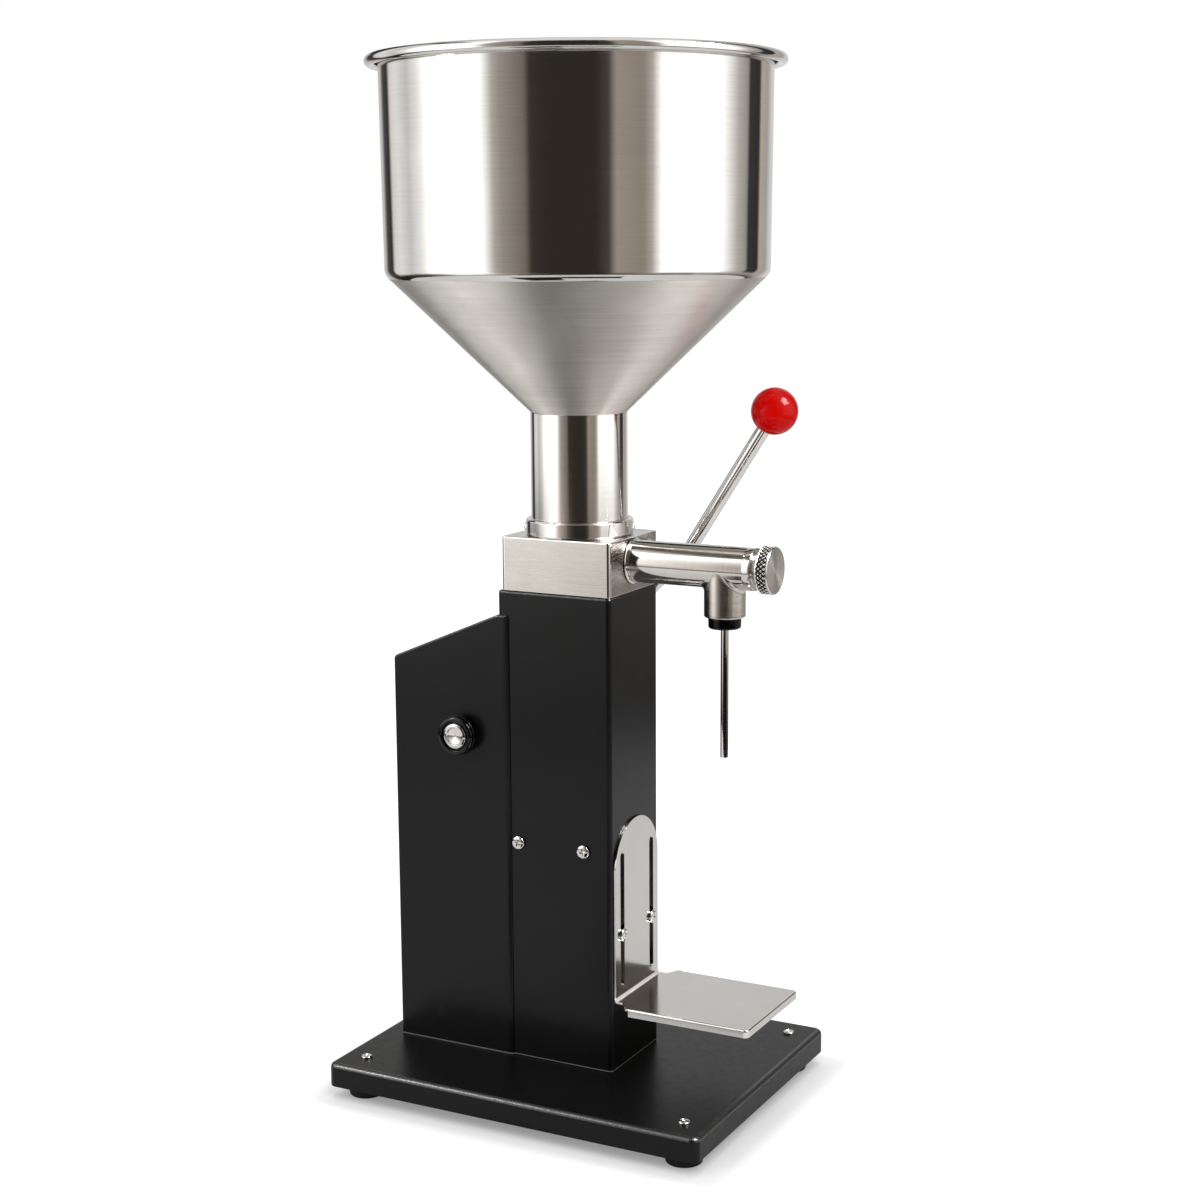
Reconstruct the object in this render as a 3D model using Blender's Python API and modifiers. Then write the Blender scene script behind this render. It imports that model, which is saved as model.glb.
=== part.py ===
"""A hand-lever piston filling machine, 0.8 m tall, as separate named pieces.

The lever turns a rocker arm inside the rear cover. The arm lowers a piston below the steel
valve block, which draws product from the hopper. Raising the lever pushes it out at the nozzle.
Metres, +Z up, the floor at zero, the nozzle side towards -Y.
"""
import math

import bmesh
import bpy
from mathutils import Matrix, Vector

# Clearances, overruns and how round the round pieces are
seat_gap = 0.0003
side_gap = 0.0003
overrun = 0.004
overlap = 0.001
merge_distance = 0.00001
large_sides = 48
round_sides = 24
small_sides = 12
hex_sides = 6
# Turns the facets of the tube's bores and branch, so that their corners don't meet the tube's
facet_roll = math.radians(5)
fine_steps = 3
dome_steps = 2

# Base pan, its feet and their screws
base_width = 0.2455
base_length = 0.3204
base_skirt = 0.0188
base_sheet = 0.003
base_corner_radius = 0.007
base_edge_radius = 0.004
floor_clearance = 0.0105
foot_radius = 0.0145
foot_chamfer = 0.001
foot_pad_height = 0.012
foot_stem_radius = 0.010
foot_inset_x = 0.0238
foot_inset_y = 0.0212
base_top = floor_clearance + base_skirt
base_ceiling = base_top - base_sheet

# Screws and bolts: head radius, head height, shank radius
foot_screw_head_radius = 0.0045
foot_screw_head_height = 0.002
foot_screw_shank_radius = 0.0023
foot_screw_reach = 0.012
side_screw_head_radius = 0.0052
side_screw_head_height = 0.0027
side_screw_shank_radius = 0.0025
side_screw_reach = 0.009
tray_screw_head_radius = 0.0052
tray_screw_head_height = 0.0028
tray_screw_shank_radius = 0.0022
tray_screw_reach = 0.010
recess_depth = 0.0013
recess_width = 0.0012
recess_share = 0.62
bolt_flat_radius = 0.0075
bolt_head_height = 0.0053
bolt_shank_radius = 0.004
bolt_reach = 0.0045
cover_screw_head_radius = 0.0045
cover_screw_head_height = 0.003
cover_screw_shank_radius = 0.0024
cover_screw_reach = 0.004

# Column weldment: tube, end plates and the two bearing cheeks behind it
column_width = 0.081
column_depth = 0.0969
column_front = -0.0494
column_top = 0.402
column_sheet = 0.002
column_plate = 0.004
column_corner_radius = 0.0025
column_bolt_spread = 0.056
column_rear = column_front + column_depth
column_bottom = base_top + seat_gap
cheek_thickness = 0.006
cheek_inset = 0.0015
cheek_radius = 0.022
window_half_width = 0.018
window_half_height = 0.024

# Common vertical axis of the hopper, valve block, cylinder and piston
axis_y = -0.003

# Rear cover of folded sheet
cover_sheet = 0.0015
cover_front = 0.0375
cover_rear_inset = 0.0182
cover_front_height = 0.3828
cover_rear_height = 0.343
cover_corner_radius = 0.004
cover_floor_tab = 0.022
cover_screw_spread = 0.050
cover_rear = base_length / 2 - cover_rear_inset
cover_half_width = column_width / 2 + side_gap + cover_sheet

# Lever pivot: shaft, bushes, collars, hub, bent rod and ball
pivot_y = 0.0803
pivot_z = 0.2863
shaft_radius = 0.0102
shaft_chamfer = 0.001
shaft_dimple_radius = 0.0065
shaft_dimple_depth = 0.003
shaft_stub = 0.0005
bush_wall = 0.003
bush_flange = 0.003
bush_flange_thickness = 0.0015
collar_radius = 0.017
collar_length = 0.0114
collar_chamfer = 0.0012
hub_radius = 0.019
hub_length = 0.018
hub_boss_radius = 0.0086
hub_boss_reach = 0.034
hub_socket_floor = 0.0135
hub_screw_radius = 0.003
hub_screw_length = 0.0066
lever_radius = 0.0054
lever_bend_y = -0.0646
lever_bend_z = 0.4244
lever_bend_radius = 0.040
lever_sides_resolution = 4
ball_radius = 0.018
ball_y = -0.1373
ball_z = 0.5371
ball_socket_depth = 0.013
ball_segments = 20
ball_rings = 12
valve_ball_segments = 16
valve_ball_rings = 10
lever_socket_gap = 0.0004

# Rocker arm inside the cover, and the crosshead that it carries
stroke = 0.040
arm_hub_radius = 0.017
arm_plate_thickness = 0.006
arm_half_height = 0.011
arm_slot_run = 0.0012
arm_slot_gap = 0.0004
tail_thickness = 0.010
tail_half_width = 0.006
tail_length = 0.066
crosshead_width = 0.017
crosshead_depth = 0.022
crosshead_height = 0.024
pin_radius = 0.0035
pin_overhang = 0.0025
rod_radius = 0.007
rod_low_end = 0.180
rod_gap = 0.0004

# Metering cylinder, piston and their seals
bore_radius = 0.020
cylinder_wall = 0.003
cylinder_flange_radius = 0.0287
cylinder_flange_thickness = 0.0031
cylinder_bottom = 0.330
cap_flange_thickness = 0.0042
cap_plug_height = 0.008
piston_height = 0.018
piston_gap = 0.0005
piston_top = 0.398
piston_socket_depth = 0.012
piston_groove_depth = 0.0026
piston_groove_height = 0.006
seal_proud = 0.00025

# Valve block with its inlet valve
block_width = 0.0807
block_depth = 0.0928
block_height = 0.0417
block_corner_radius = 0.0016
block_edge_radius = 0.0008
port_height = 0.0235
port_radius = 0.010
inlet_seat_radius = 0.0232
inlet_seat_thickness = 0.0074
inlet_orifice_radius = 0.011
inlet_funnel_radius = 0.018
inlet_ball_radius = 0.013
cage_radius = 0.0217
cage_rim = 0.0037
cage_thickness = 0.003
cage_bar_width = 0.005
cage_disc_radius = 0.0075
inlet_spring_radius = 0.0052
inlet_spring_wire = 0.00045
inlet_spring_curls = 3
block_screw_x = 0.0325
block_screw_y = 0.035
block_screw_depth = 0.012
block_screw_head_radius = 0.0042
block_screw_head_height = 0.005
block_screw_shank_radius = 0.0025
block_bottom = column_top + seat_gap
block_top = block_bottom + block_height
block_front = axis_y - block_depth / 2

# Hopper, its seal, the collar that holds it and the collar's screws
total_height = 0.800
hopper_sheet = 0.0015
rim_radius = 0.1565
rim_bead_radius = 0.004
rim_web = 0.0012
body_top_radius = 0.1465
body_low_radius = 0.1447
knee_height = 0.6410
knee_radius = 0.010
cone_foot_height = 0.5375
neck_radius = 0.037
seal_thickness = 0.0015
seal_width = 0.0025
collar_ring_radius = 0.04125
collar_ring_height = 0.0120
collar_ring_chamfer = 0.0008
grub_radius = 0.003
grub_proud = 0.0012
grub_height = 0.0055
grub_angle = math.radians(-62)

# Outlet tube with its branch, the outlet valve, the end cap and the nozzle
tube_radius = 0.016
tube_wall = 0.004
tube_length = 0.0955
tube_weld_proud = 0.0018
tube_weld_length = 0.0025
outlet_seat_thickness = 0.0068
outlet_orifice_radius = 0.0065
outlet_ball_radius = 0.008
outlet_spring_radius = 0.005
outlet_spring_wire = 0.0006
outlet_spring_curls = 7
branch_radius = 0.0157
branch_reach = 0.0755
branch_length = 0.0372
branch_bore_radius = 0.010
branch_floor = 0.004
nut_hole_radius = 0.0078
cap_radius = 0.018
cap_nose_length = 0.0055
cap_length = 0.0205
cap_chamfer = 0.0015
cap_plug_length = 0.0075
nut_radius = 0.0125
nut_height = 0.0083
nut_spigot_height = 0.012
nut_chamfer = 0.0008
nozzle_radius = 0.003
nozzle_wall = 0.0008
nozzle_tip_height = 0.2805
nozzle_head_radius = 0.0065
nozzle_head_height = 0.002

# Product tray
tray_sheet = 0.0015
tray_top = 0.087
tray_half_width = 0.0485
tray_front = -0.167
tray_wide_rear = -0.066
tray_neck_half_width = 0.038
tray_rim_height = 0.006
tray_corner_radius = 0.0035
plate_half_width = 0.0365
plate_top = 0.225
slot_x = 0.025
slot_half_width = 0.0034
slot_low = 0.0956
slot_high = 0.2027
tray_screw_height = 0.137

# Guide bracket inside the column and the screws in its sides
bracket_sheet = 0.003
bracket_bottom = 0.195
bracket_height = 0.018
bracket_front = -0.036
bracket_rear = 0.041
bracket_boss_radius = 0.012
bracket_boss_height = 0.018
bracket_boss_drop = 0.006
side_screw_front_y = -0.026
side_screw_rear_y = 0.031
side_screw_height = 0.204

# Stroke adjusting screw at the back
stop_drop = 0.062
stop_radius = 0.004
stop_boss_radius = 0.008
stop_boss_length = 0.006
stop_nut_radius = 0.0075
stop_nut_thickness = 0.0047
stop_knob_radius = 0.009
stop_knob_length = 0.0076
stop_knob_chamfer = 0.001
stop_tip_gap = 0.0004

# Places that follow from the sizes above
half_swing = math.atan2(stroke / 2, pivot_y - axis_y)
pin_z = pivot_z + stroke / 2
collar_start = cover_half_width + side_gap
shaft_left_end = -(collar_start + collar_length + shaft_stub)
hub_start = collar_start + collar_length + side_gap
lever_plane_x = hub_start + hub_length / 2
tube_start = block_front - seat_gap
tube_end = tube_start - tube_length
outlet_axis_z = column_top + port_height
cap_start = tube_end - seat_gap
cap_face = cap_start - cap_length
branch_y = tube_start - branch_reach
branch_bottom = outlet_axis_z - branch_length
rear_reach = base_length / 2
front_reach = min(cap_face, tray_front)
middle_y = (rear_reach + front_reach) / 2

quarter_turn = math.pi / 2
X_AXIS = Vector((1, 0, 0))
Y_AXIS = Vector((0, 1, 0))
Z_AXIS = Vector((0, 0, 1))
# Local X, Y and Z of a plate that lies in a side plane or in a front plane
SIDE_PLANE = Matrix(((0, 0, 1), (1, 0, 0), (0, 1, 0))).to_4x4()
FRONT_PLANE = Matrix(((1, 0, 0), (0, 0, -1), (0, 1, 0))).to_4x4()


def clear_scene():
    for obj in list(bpy.data.objects):
        bpy.data.objects.remove(obj, do_unlink=True)
    for group in list(bpy.data.collections):
        bpy.data.collections.remove(group)


def new_collection(name):
    group = bpy.data.collections.new(name)
    bpy.context.scene.collection.children.link(group)
    return group


def new_material(name, colour, roughness, metallic):
    material = bpy.data.materials.new(name)
    material.use_nodes = True
    shader = material.node_tree.nodes["Principled BSDF"]
    shader.inputs["Base Color"].default_value = (*colour, 1)
    shader.inputs["Roughness"].default_value = roughness
    shader.inputs["Metallic"].default_value = metallic
    return material


def smooth_round_faces(mesh):
    mesh.shade_smooth()
    mesh.set_sharp_from_angle(angle=math.radians(30))


def add_object(name, data, finish, carrier):
    """One piece of the machine, in its collection, with its own copy of a finish."""
    obj = bpy.data.objects.new(name, data)
    machine.objects.link(obj)
    data.materials.append(new_material(name + "_finish", *finish))
    obj.parent = carrier
    obj.matrix_parent_inverse = Matrix.Translation(carrier_place(carrier)).inverted()
    return obj


def carrier_place(carrier):
    return Vector((0, 0, 0)) if carrier is assembly else carrier.location


def new_carrier(name, place):
    """An empty on a joint's axis, which carries the pieces that move there."""
    empty = bpy.data.objects.new(name, None)
    machine.objects.link(empty)
    empty.parent = assembly
    empty.location = place
    return empty


def mesh_from(bm, name):
    mesh = bpy.data.meshes.new(name)
    bm.to_mesh(mesh)
    bm.free()
    smooth_round_faces(mesh)
    return mesh


def box_mesh(name, low, high, corner_radius=0, edge_radius=0):
    """A box between two corners, with rounded upright corners and a rounded top edge."""
    low = Vector(low)
    high = Vector(high)
    bm = bmesh.new()
    bmesh.ops.create_cube(bm, size=1)
    size = high - low
    bmesh.ops.scale(bm, vec=size, verts=bm.verts)
    bmesh.ops.translate(bm, vec=(low + high) / 2, verts=bm.verts)
    if corner_radius:
        uprights = [e for e in bm.edges if abs(e.verts[0].co.z - e.verts[1].co.z) > size.z / 2]
        bmesh.ops.bevel(
            bm, geom=uprights, offset=corner_radius, segments=fine_steps, profile=0.5, affect="EDGES"
        )
    if edge_radius:
        middle = (low.z + high.z) / 2
        top = [e for e in bm.edges if min(v.co.z for v in e.verts) > middle and len(e.link_faces) == 2]
        rim = [e for e in top if any(abs(f.normal.z) < 0.5 for f in e.link_faces)]
        bmesh.ops.bevel(
            bm, geom=rim, offset=edge_radius, segments=fine_steps, profile=0.5, affect="EDGES"
        )
    return mesh_from(bm, name)


def cylinder_mesh(name, radius, start, end, sides, roll=0):
    """A plain cylinder from one point to another, its facets turned by roll."""
    start = Vector(start)
    end = Vector(end)
    along = end - start
    bm = bmesh.new()
    bmesh.ops.create_cone(
        bm, cap_ends=True, segments=sides, radius1=radius, radius2=radius, depth=along.length
    )
    turn = along.to_track_quat("Z", "Y").to_matrix().to_4x4() @ Matrix.Rotation(roll, 4, "Z")
    bmesh.ops.transform(bm, matrix=Matrix.Translation((start + end) / 2) @ turn, verts=bm.verts)
    return mesh_from(bm, name)


def turned_object(name, profile, place, direction, sides, finish, carrier):
    """A turned piece: its profile runs down the outer side and, on a ring, back up the inner one."""
    mesh = bpy.data.meshes.new(name)
    points = [(radius, 0, height) for radius, height in profile]
    closed = profile[0][0] > 0
    edges = [(i, i + 1) for i in range(len(points) - 1)]
    if closed:
        edges.append((len(points) - 1, 0))
    mesh.from_pydata(points, edges, [])
    obj = add_object(name, mesh, finish, carrier)
    obj.location = place
    obj.rotation_euler = Vector(direction).to_track_quat("Z", "Y").to_euler()
    screw = obj.modifiers.new("turn", "SCREW")
    screw.steps = sides
    screw.render_steps = sides
    screw.use_merge_vertices = True
    screw.merge_threshold = merge_distance
    return obj


def flat_mesh(name, outlines, thickness, frame):
    """A flat plate cut to outlines; the second and later outlines are holes."""
    curve = bpy.data.curves.new(name, "CURVE")
    curve.dimensions = "2D"
    curve.fill_mode = "BOTH"
    curve.extrude = thickness / 2
    for outline in outlines:
        spline = curve.splines.new("POLY")
        spline.points.add(len(outline) - 1)
        for point, (x, y) in zip(spline.points, outline):
            point.co = (x, y, 0, 1)
        spline.use_cyclic_u = True
    guide = bpy.data.objects.new(name, curve)
    bpy.context.scene.collection.objects.link(guide)
    graph = bpy.context.evaluated_depsgraph_get()
    mesh = bpy.data.meshes.new_from_object(guide.evaluated_get(graph))
    bpy.data.objects.remove(guide, do_unlink=True)
    bpy.data.curves.remove(curve)
    bm = bmesh.new()
    bm.from_mesh(mesh)
    bmesh.ops.remove_doubles(bm, verts=bm.verts, dist=merge_distance)
    bmesh.ops.transform(bm, matrix=frame, verts=bm.verts)
    bmesh.ops.recalc_face_normals(bm, faces=bm.faces)
    bm.to_mesh(mesh)
    bm.free()
    smooth_round_faces(mesh)
    return mesh


def wire_object(name, points, radius, resolution, finish, carrier):
    """A round bar or wire along points, with filled ends."""
    curve = bpy.data.curves.new(name, "CURVE")
    curve.dimensions = "3D"
    curve.bevel_depth = radius
    curve.bevel_resolution = resolution
    curve.use_fill_caps = True
    spline = curve.splines.new("POLY")
    spline.points.add(len(points) - 1)
    for point, place in zip(spline.points, points):
        point.co = (*place, 1)
    return add_object(name, curve, finish, carrier)


def helper(name, mesh):
    """A shape that cuts or joins another and is left out of the machine."""
    obj = bpy.data.objects.new(name, mesh)
    cutters.objects.link(obj)
    obj.parent = assembly
    obj.hide_render = True
    obj.display_type = "WIRE"
    return obj


def combine(obj, operation, mesh):
    other = helper(mesh.name, mesh)
    boolean = obj.modifiers.new(mesh.name, "BOOLEAN")
    boolean.operation = operation
    boolean.object = other
    boolean.solver = "EXACT"


def cut(obj, *meshes):
    for mesh in meshes:
        combine(obj, "DIFFERENCE", mesh)


def join(obj, *meshes):
    for mesh in meshes:
        combine(obj, "UNION", mesh)


def arc(centre_x, centre_y, radius, start, end, steps=fine_steps):
    """Points along an arc, both ends included."""
    angles = [start + (end - start) * i / steps for i in range(steps + 1)]
    return [(centre_x + radius * math.cos(a), centre_y + radius * math.sin(a)) for a in angles]


def capsule(start, end, radius, steps=fine_steps):
    """The outline of a bar with round ends."""
    along = math.atan2(end[1] - start[1], end[0] - start[0])
    first = arc(*end, radius, along - quarter_turn, along + quarter_turn, 2 * steps)
    second = arc(*start, radius, along + quarter_turn, along + 3 * quarter_turn, 2 * steps)
    return first + second


def screw_object(name, place, direction, head_radius, head_height, shank_radius, reach, carrier):
    """A domed cross-recess screw: direction points out of its head, place is under the head."""
    crown = [(head_radius * math.cos(a), head_height * math.sin(a)) for a in dome_angles]
    profile = [(0, head_height)] + crown + [(shank_radius, 0), (shank_radius, -reach), (0, -reach)]
    obj = turned_object(name, profile, place, direction, small_sides, POLISHED, carrier)
    turn = Vector(direction).to_track_quat("Z", "Y").to_matrix().to_4x4()
    frame = Matrix.Translation(place) @ turn
    long_half = head_radius * recess_share
    short_half = recess_width / 2
    for label, half_x, half_y in (("a", long_half, short_half), ("b", short_half, long_half)):
        slot = box_mesh(
            name + "_recess_" + label,
            (-half_x, -half_y, head_height - recess_depth),
            (half_x, half_y, head_height + overrun),
        )
        slot.transform(frame)
        cut(obj, slot)
    return obj


dome_angles = [quarter_turn * (1 - (i + 1) / dome_steps) for i in range(dome_steps)]

# Finishes: colour, roughness, metallic
POWDER_BLACK = ((0.012, 0.012, 0.013), 0.5, 0.0)
BLACK_RUBBER = ((0.01, 0.01, 0.01), 0.75, 0.0)
BLACK_PLASTIC = ((0.012, 0.012, 0.012), 0.35, 0.0)
BRUSHED = ((0.60, 0.58, 0.55), 0.3, 1.0)
POLISHED = ((0.72, 0.71, 0.69), 0.14, 1.0)
BRIGHT_STEEL = ((0.42, 0.41, 0.40), 0.35, 1.0)
BRONZE = ((0.45, 0.28, 0.12), 0.35, 1.0)
RED = ((0.60, 0.0, 0.0), 0.2, 0.0)
WHITE_SEAL = ((0.75, 0.74, 0.70), 0.5, 0.0)


def make_base():
    half_x = base_width / 2
    half_y = base_length / 2
    pan = box_mesh(
        "base_plate",
        (-half_x, -half_y, floor_clearance),
        (half_x, half_y, base_top),
        base_corner_radius,
        base_edge_radius,
    )
    base = add_object("base_plate", pan, POWDER_BLACK, assembly)
    inside = box_mesh(
        "base_hollow",
        (base_sheet - half_x, base_sheet - half_y, floor_clearance - overrun),
        (half_x - base_sheet, half_y - base_sheet, base_ceiling),
    )
    cut(base, inside)
    number = 0
    for side in (-1, 1):
        for end in (-1, 1):
            number += 1
            place = Vector((side * (half_x - foot_inset_x), end * (half_y - foot_inset_y), 0))
            make_foot(base, number, place)
    for number, y in enumerate(column_bolt_places(), 1):
        drill_base(base, f"base_bolt_hole_{number}", 0, y, bolt_shank_radius)
    for number, x in enumerate((-cover_screw_spread / 2, cover_screw_spread / 2), 1):
        drill_base(base, f"base_cover_hole_{number}", x, cover_screw_y(), cover_screw_shank_radius)


def drill_base(base, name, x, y, shank_radius):
    low = (x, y, base_ceiling - overrun)
    high = (x, y, base_top + overrun)
    cut(base, cylinder_mesh(name, shank_radius + side_gap, low, high, small_sides))


def column_bolt_places():
    return (axis_y - column_bolt_spread / 2, axis_y + column_bolt_spread / 2)


def cover_screw_y():
    return cover_rear - cover_sheet - cover_floor_tab / 2


def make_foot(base, number, place):
    hole_radius = foot_screw_shank_radius + side_gap
    stem_top = base_ceiling - seat_gap
    hole_floor = base_top - foot_screw_reach - seat_gap
    profile = [
        (0, hole_floor),
        (hole_radius, hole_floor),
        (hole_radius, stem_top),
        (foot_stem_radius, stem_top),
        (foot_stem_radius, foot_pad_height + foot_chamfer),
        (foot_radius, foot_pad_height),
        (foot_radius, foot_chamfer),
        (foot_radius - foot_chamfer, 0),
        (0, 0),
    ]
    turned_object(
        f"rubber_foot_{number}", profile, place, Z_AXIS, round_sides, BLACK_RUBBER, assembly
    )
    drill_base(base, f"base_foot_hole_{number}", place.x, place.y, foot_screw_shank_radius)
    screw_object(
        f"foot_screw_{number}",
        place + Z_AXIS * (base_top + seat_gap),
        Z_AXIS,
        foot_screw_head_radius,
        foot_screw_head_height,
        foot_screw_shank_radius,
        foot_screw_reach,
        assembly,
    )


def make_column():
    half_x = column_width / 2
    outer = box_mesh(
        "column",
        (-half_x, column_front, column_bottom),
        (half_x, column_rear, column_top),
        column_corner_radius,
    )
    column = add_object("column", outer, POWDER_BLACK, assembly)
    cut(
        column,
        box_mesh(
            "column_hollow",
            (column_sheet - half_x, column_front + column_sheet, column_bottom + column_plate),
            (half_x - column_sheet, column_rear - column_sheet, column_top - column_plate),
        ),
        box_mesh(
            "column_window",
            (-window_half_width, column_rear - column_sheet - overrun, pivot_z - window_half_height),
            (window_half_width, column_rear + overrun, pivot_z + window_half_height),
        ),
        cylinder_mesh(
            "column_cylinder_hole",
            bore_radius + cylinder_wall + side_gap,
            (0, axis_y, column_top - column_plate - overrun),
            (0, axis_y, column_top + overrun),
            round_sides,
        ),
    )
    for side, label in ((-1, "left"), (1, "right")):
        inner = half_x - cheek_inset - cheek_thickness
        outer_face = half_x - cheek_inset
        low_x = min(side * inner, side * outer_face)
        high_x = max(side * inner, side * outer_face)
        outline = [
            (column_rear - overlap, pivot_z + cheek_radius),
            (column_rear - overlap, pivot_z - cheek_radius),
        ]
        outline += arc(pivot_y, pivot_z, cheek_radius, -quarter_turn, quarter_turn, 2 * fine_steps)
        frame = Matrix.Translation(((low_x + high_x) / 2, 0, 0)) @ SIDE_PLANE
        join(column, flat_mesh(f"cheek_{label}", [outline], cheek_thickness, frame))
        cut(
            column,
            cylinder_mesh(
                f"cheek_hole_{label}",
                shaft_radius + side_gap + bush_wall + side_gap,
                (low_x - overrun / 2, pivot_y, pivot_z),
                (high_x + overrun / 2, pivot_y, pivot_z),
                round_sides,
            ),
        )
        make_bush(side, label, inner)
    make_column_fasteners(column)


def make_bush(side, label, cheek_inner):
    """A flanged bronze bush in a cheek, its flange on the inner side."""
    bore = shaft_radius + side_gap
    outer = bore + bush_wall
    flange = outer + bush_flange
    profile = [
        (bore, cheek_thickness),
        (outer, cheek_thickness),
        (outer, -seat_gap),
        (flange, -seat_gap),
        (flange, -seat_gap - bush_flange_thickness),
        (bore, -seat_gap - bush_flange_thickness),
    ]
    place = (side * cheek_inner, pivot_y, pivot_z)
    turned_object(
        f"shaft_bush_{label}", profile, place, X_AXIS * side, round_sides, BRONZE, assembly
    )


def make_column_fasteners(column):
    for number, y in enumerate(column_bolt_places(), 1):
        head_top = base_ceiling - seat_gap
        cut(
            column,
            cylinder_mesh(
                f"column_bolt_hole_{number}",
                bolt_shank_radius + side_gap,
                (0, y, column_bottom - overrun),
                (0, y, column_bottom + column_plate + overrun),
                small_sides,
            ),
        )
        head_low = (0, y, head_top - bolt_head_height)
        head = cylinder_mesh(
            f"column_bolt_{number}", bolt_flat_radius, head_low, (0, y, head_top), hex_sides
        )
        bolt = add_object(f"column_bolt_{number}", head, POLISHED, assembly)
        shank_end = column_bottom + column_plate + bolt_reach
        join(
            bolt,
            cylinder_mesh(
                f"column_bolt_shank_{number}",
                bolt_shank_radius,
                (0, y, head_top - overlap),
                (0, y, shank_end),
                small_sides,
            ),
        )
    number = 0
    for side in (-1, 1):
        for y in (side_screw_front_y, side_screw_rear_y):
            number += 1
            face = side * column_width / 2
            cut(
                column,
                cylinder_mesh(
                    f"side_screw_hole_{number}",
                    side_screw_shank_radius + side_gap,
                    (face - side * (column_sheet + overrun / 2), y, side_screw_height),
                    (face + side * overrun, y, side_screw_height),
                    small_sides,
                ),
            )
            screw_object(
                f"side_screw_{number}",
                Vector((face + side * seat_gap, y, side_screw_height)),
                X_AXIS * side,
                side_screw_head_radius,
                side_screw_head_height,
                side_screw_shank_radius,
                side_screw_reach,
                assembly,
            )
    for number, x in enumerate((-slot_x, slot_x), 1):
        cut(
            column,
            cylinder_mesh(
                f"tray_screw_hole_{number}",
                tray_screw_shank_radius + side_gap,
                (x, column_front - overrun, tray_screw_height),
                (x, column_front + column_sheet + overrun, tray_screw_height),
                small_sides,
            ),
        )
        face = column_front - seat_gap - tray_sheet - seat_gap
        screw_object(
            f"tray_screw_{number}",
            Vector((x, face, tray_screw_height)),
            -Y_AXIS,
            tray_screw_head_radius,
            tray_screw_head_height,
            tray_screw_shank_radius,
            tray_screw_reach,
            assembly,
        )
    for number, side in enumerate((-1, 1), 1):
        place = Vector((side * block_screw_x, axis_y + side * block_screw_y, 0))
        make_block_screw(column, number, place)


def make_block_screw(column, number, place):
    """A cap screw from under the column's top plate up into the valve block."""
    under_plate = column_top - column_plate - seat_gap
    cut(
        column,
        cylinder_mesh(
            f"block_screw_hole_{number}",
            block_screw_shank_radius + side_gap,
            place + Z_AXIS * (under_plate - overrun),
            place + Z_AXIS * (column_top + overrun),
            small_sides,
        ),
    )
    profile = [
        (0, block_bottom + block_screw_depth),
        (block_screw_shank_radius, block_bottom + block_screw_depth),
        (block_screw_shank_radius, under_plate),
        (block_screw_head_radius, under_plate),
        (block_screw_head_radius, under_plate - block_screw_head_height),
        (0, under_plate - block_screw_head_height),
    ]
    turned_object(
        f"block_screw_{number}", profile, place, Z_AXIS, small_sides, POLISHED, assembly
    )


def cover_outline(inset):
    """The rear cover's side view, drawn in by the sheet's thickness for its hollow."""
    rear = cover_rear - inset
    slope = (cover_front_height - cover_rear_height) / (cover_rear - column_rear)
    rear_top = cover_rear_height - inset
    front_top = cover_front_height - inset
    fall = math.atan(slope)
    radius = cover_corner_radius
    rear_corner = arc(
        rear - radius,
        rear_top + slope * radius - radius / math.cos(fall),
        radius,
        0,
        quarter_turn - fall,
    )
    return rear, front_top, rear_corner


def make_cover():
    bottom = base_top + seat_gap
    rear, front_top, rear_corner = cover_outline(0)
    front_corner = arc(
        cover_front + cover_corner_radius,
        front_top - cover_corner_radius,
        cover_corner_radius,
        quarter_turn,
        2 * quarter_turn,
    )
    outer = [(cover_front, bottom), (rear, bottom)] + rear_corner
    outer += [(column_rear, front_top)] + front_corner
    shell = flat_mesh("rear_cover", [outer], 2 * cover_half_width, SIDE_PLANE)
    cover = add_object("rear_cover", shell, POWDER_BLACK, assembly)
    rear, front_top, rear_corner = cover_outline(cover_sheet)
    tab_start = rear - cover_floor_tab
    tab_top = bottom + cover_sheet
    start = column_rear + side_gap
    inner = [(start, bottom - overrun), (tab_start, bottom - overrun), (tab_start, tab_top)]
    inner += [(rear, tab_top)] + rear_corner + [(start, front_top)]
    hollow_width = 2 * (cover_half_width - cover_sheet)
    notch_low = (-hollow_width / 2, cover_front - overrun, bottom - overrun)
    notch_high = (hollow_width / 2, start + overlap, cover_front_height + overrun)
    stop_z = pivot_z - stop_drop
    boss_end = cover_rear - cover_sheet - stop_boss_length
    cut(
        cover,
        flat_mesh("cover_hollow", [inner], hollow_width, SIDE_PLANE),
        box_mesh("cover_notch", notch_low, notch_high),
        cylinder_mesh(
            "cover_shaft_hole",
            shaft_radius + side_gap,
            (-cover_half_width - overrun, pivot_y, pivot_z),
            (cover_half_width + overrun, pivot_y, pivot_z),
            round_sides,
        ),
    )
    join(
        cover,
        cylinder_mesh(
            "stop_boss",
            stop_boss_radius,
            (0, boss_end, stop_z),
            (0, cover_rear - cover_sheet / 2, stop_z),
            round_sides,
        ),
    )
    cut(
        cover,
        cylinder_mesh(
            "stop_hole",
            stop_radius + side_gap,
            (0, boss_end - overrun, stop_z),
            (0, cover_rear + overrun, stop_z),
            small_sides,
        ),
    )
    for number, x in enumerate((-cover_screw_spread / 2, cover_screw_spread / 2), 1):
        make_cover_screw(cover, number, Vector((x, cover_screw_y(), 0)))


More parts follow.
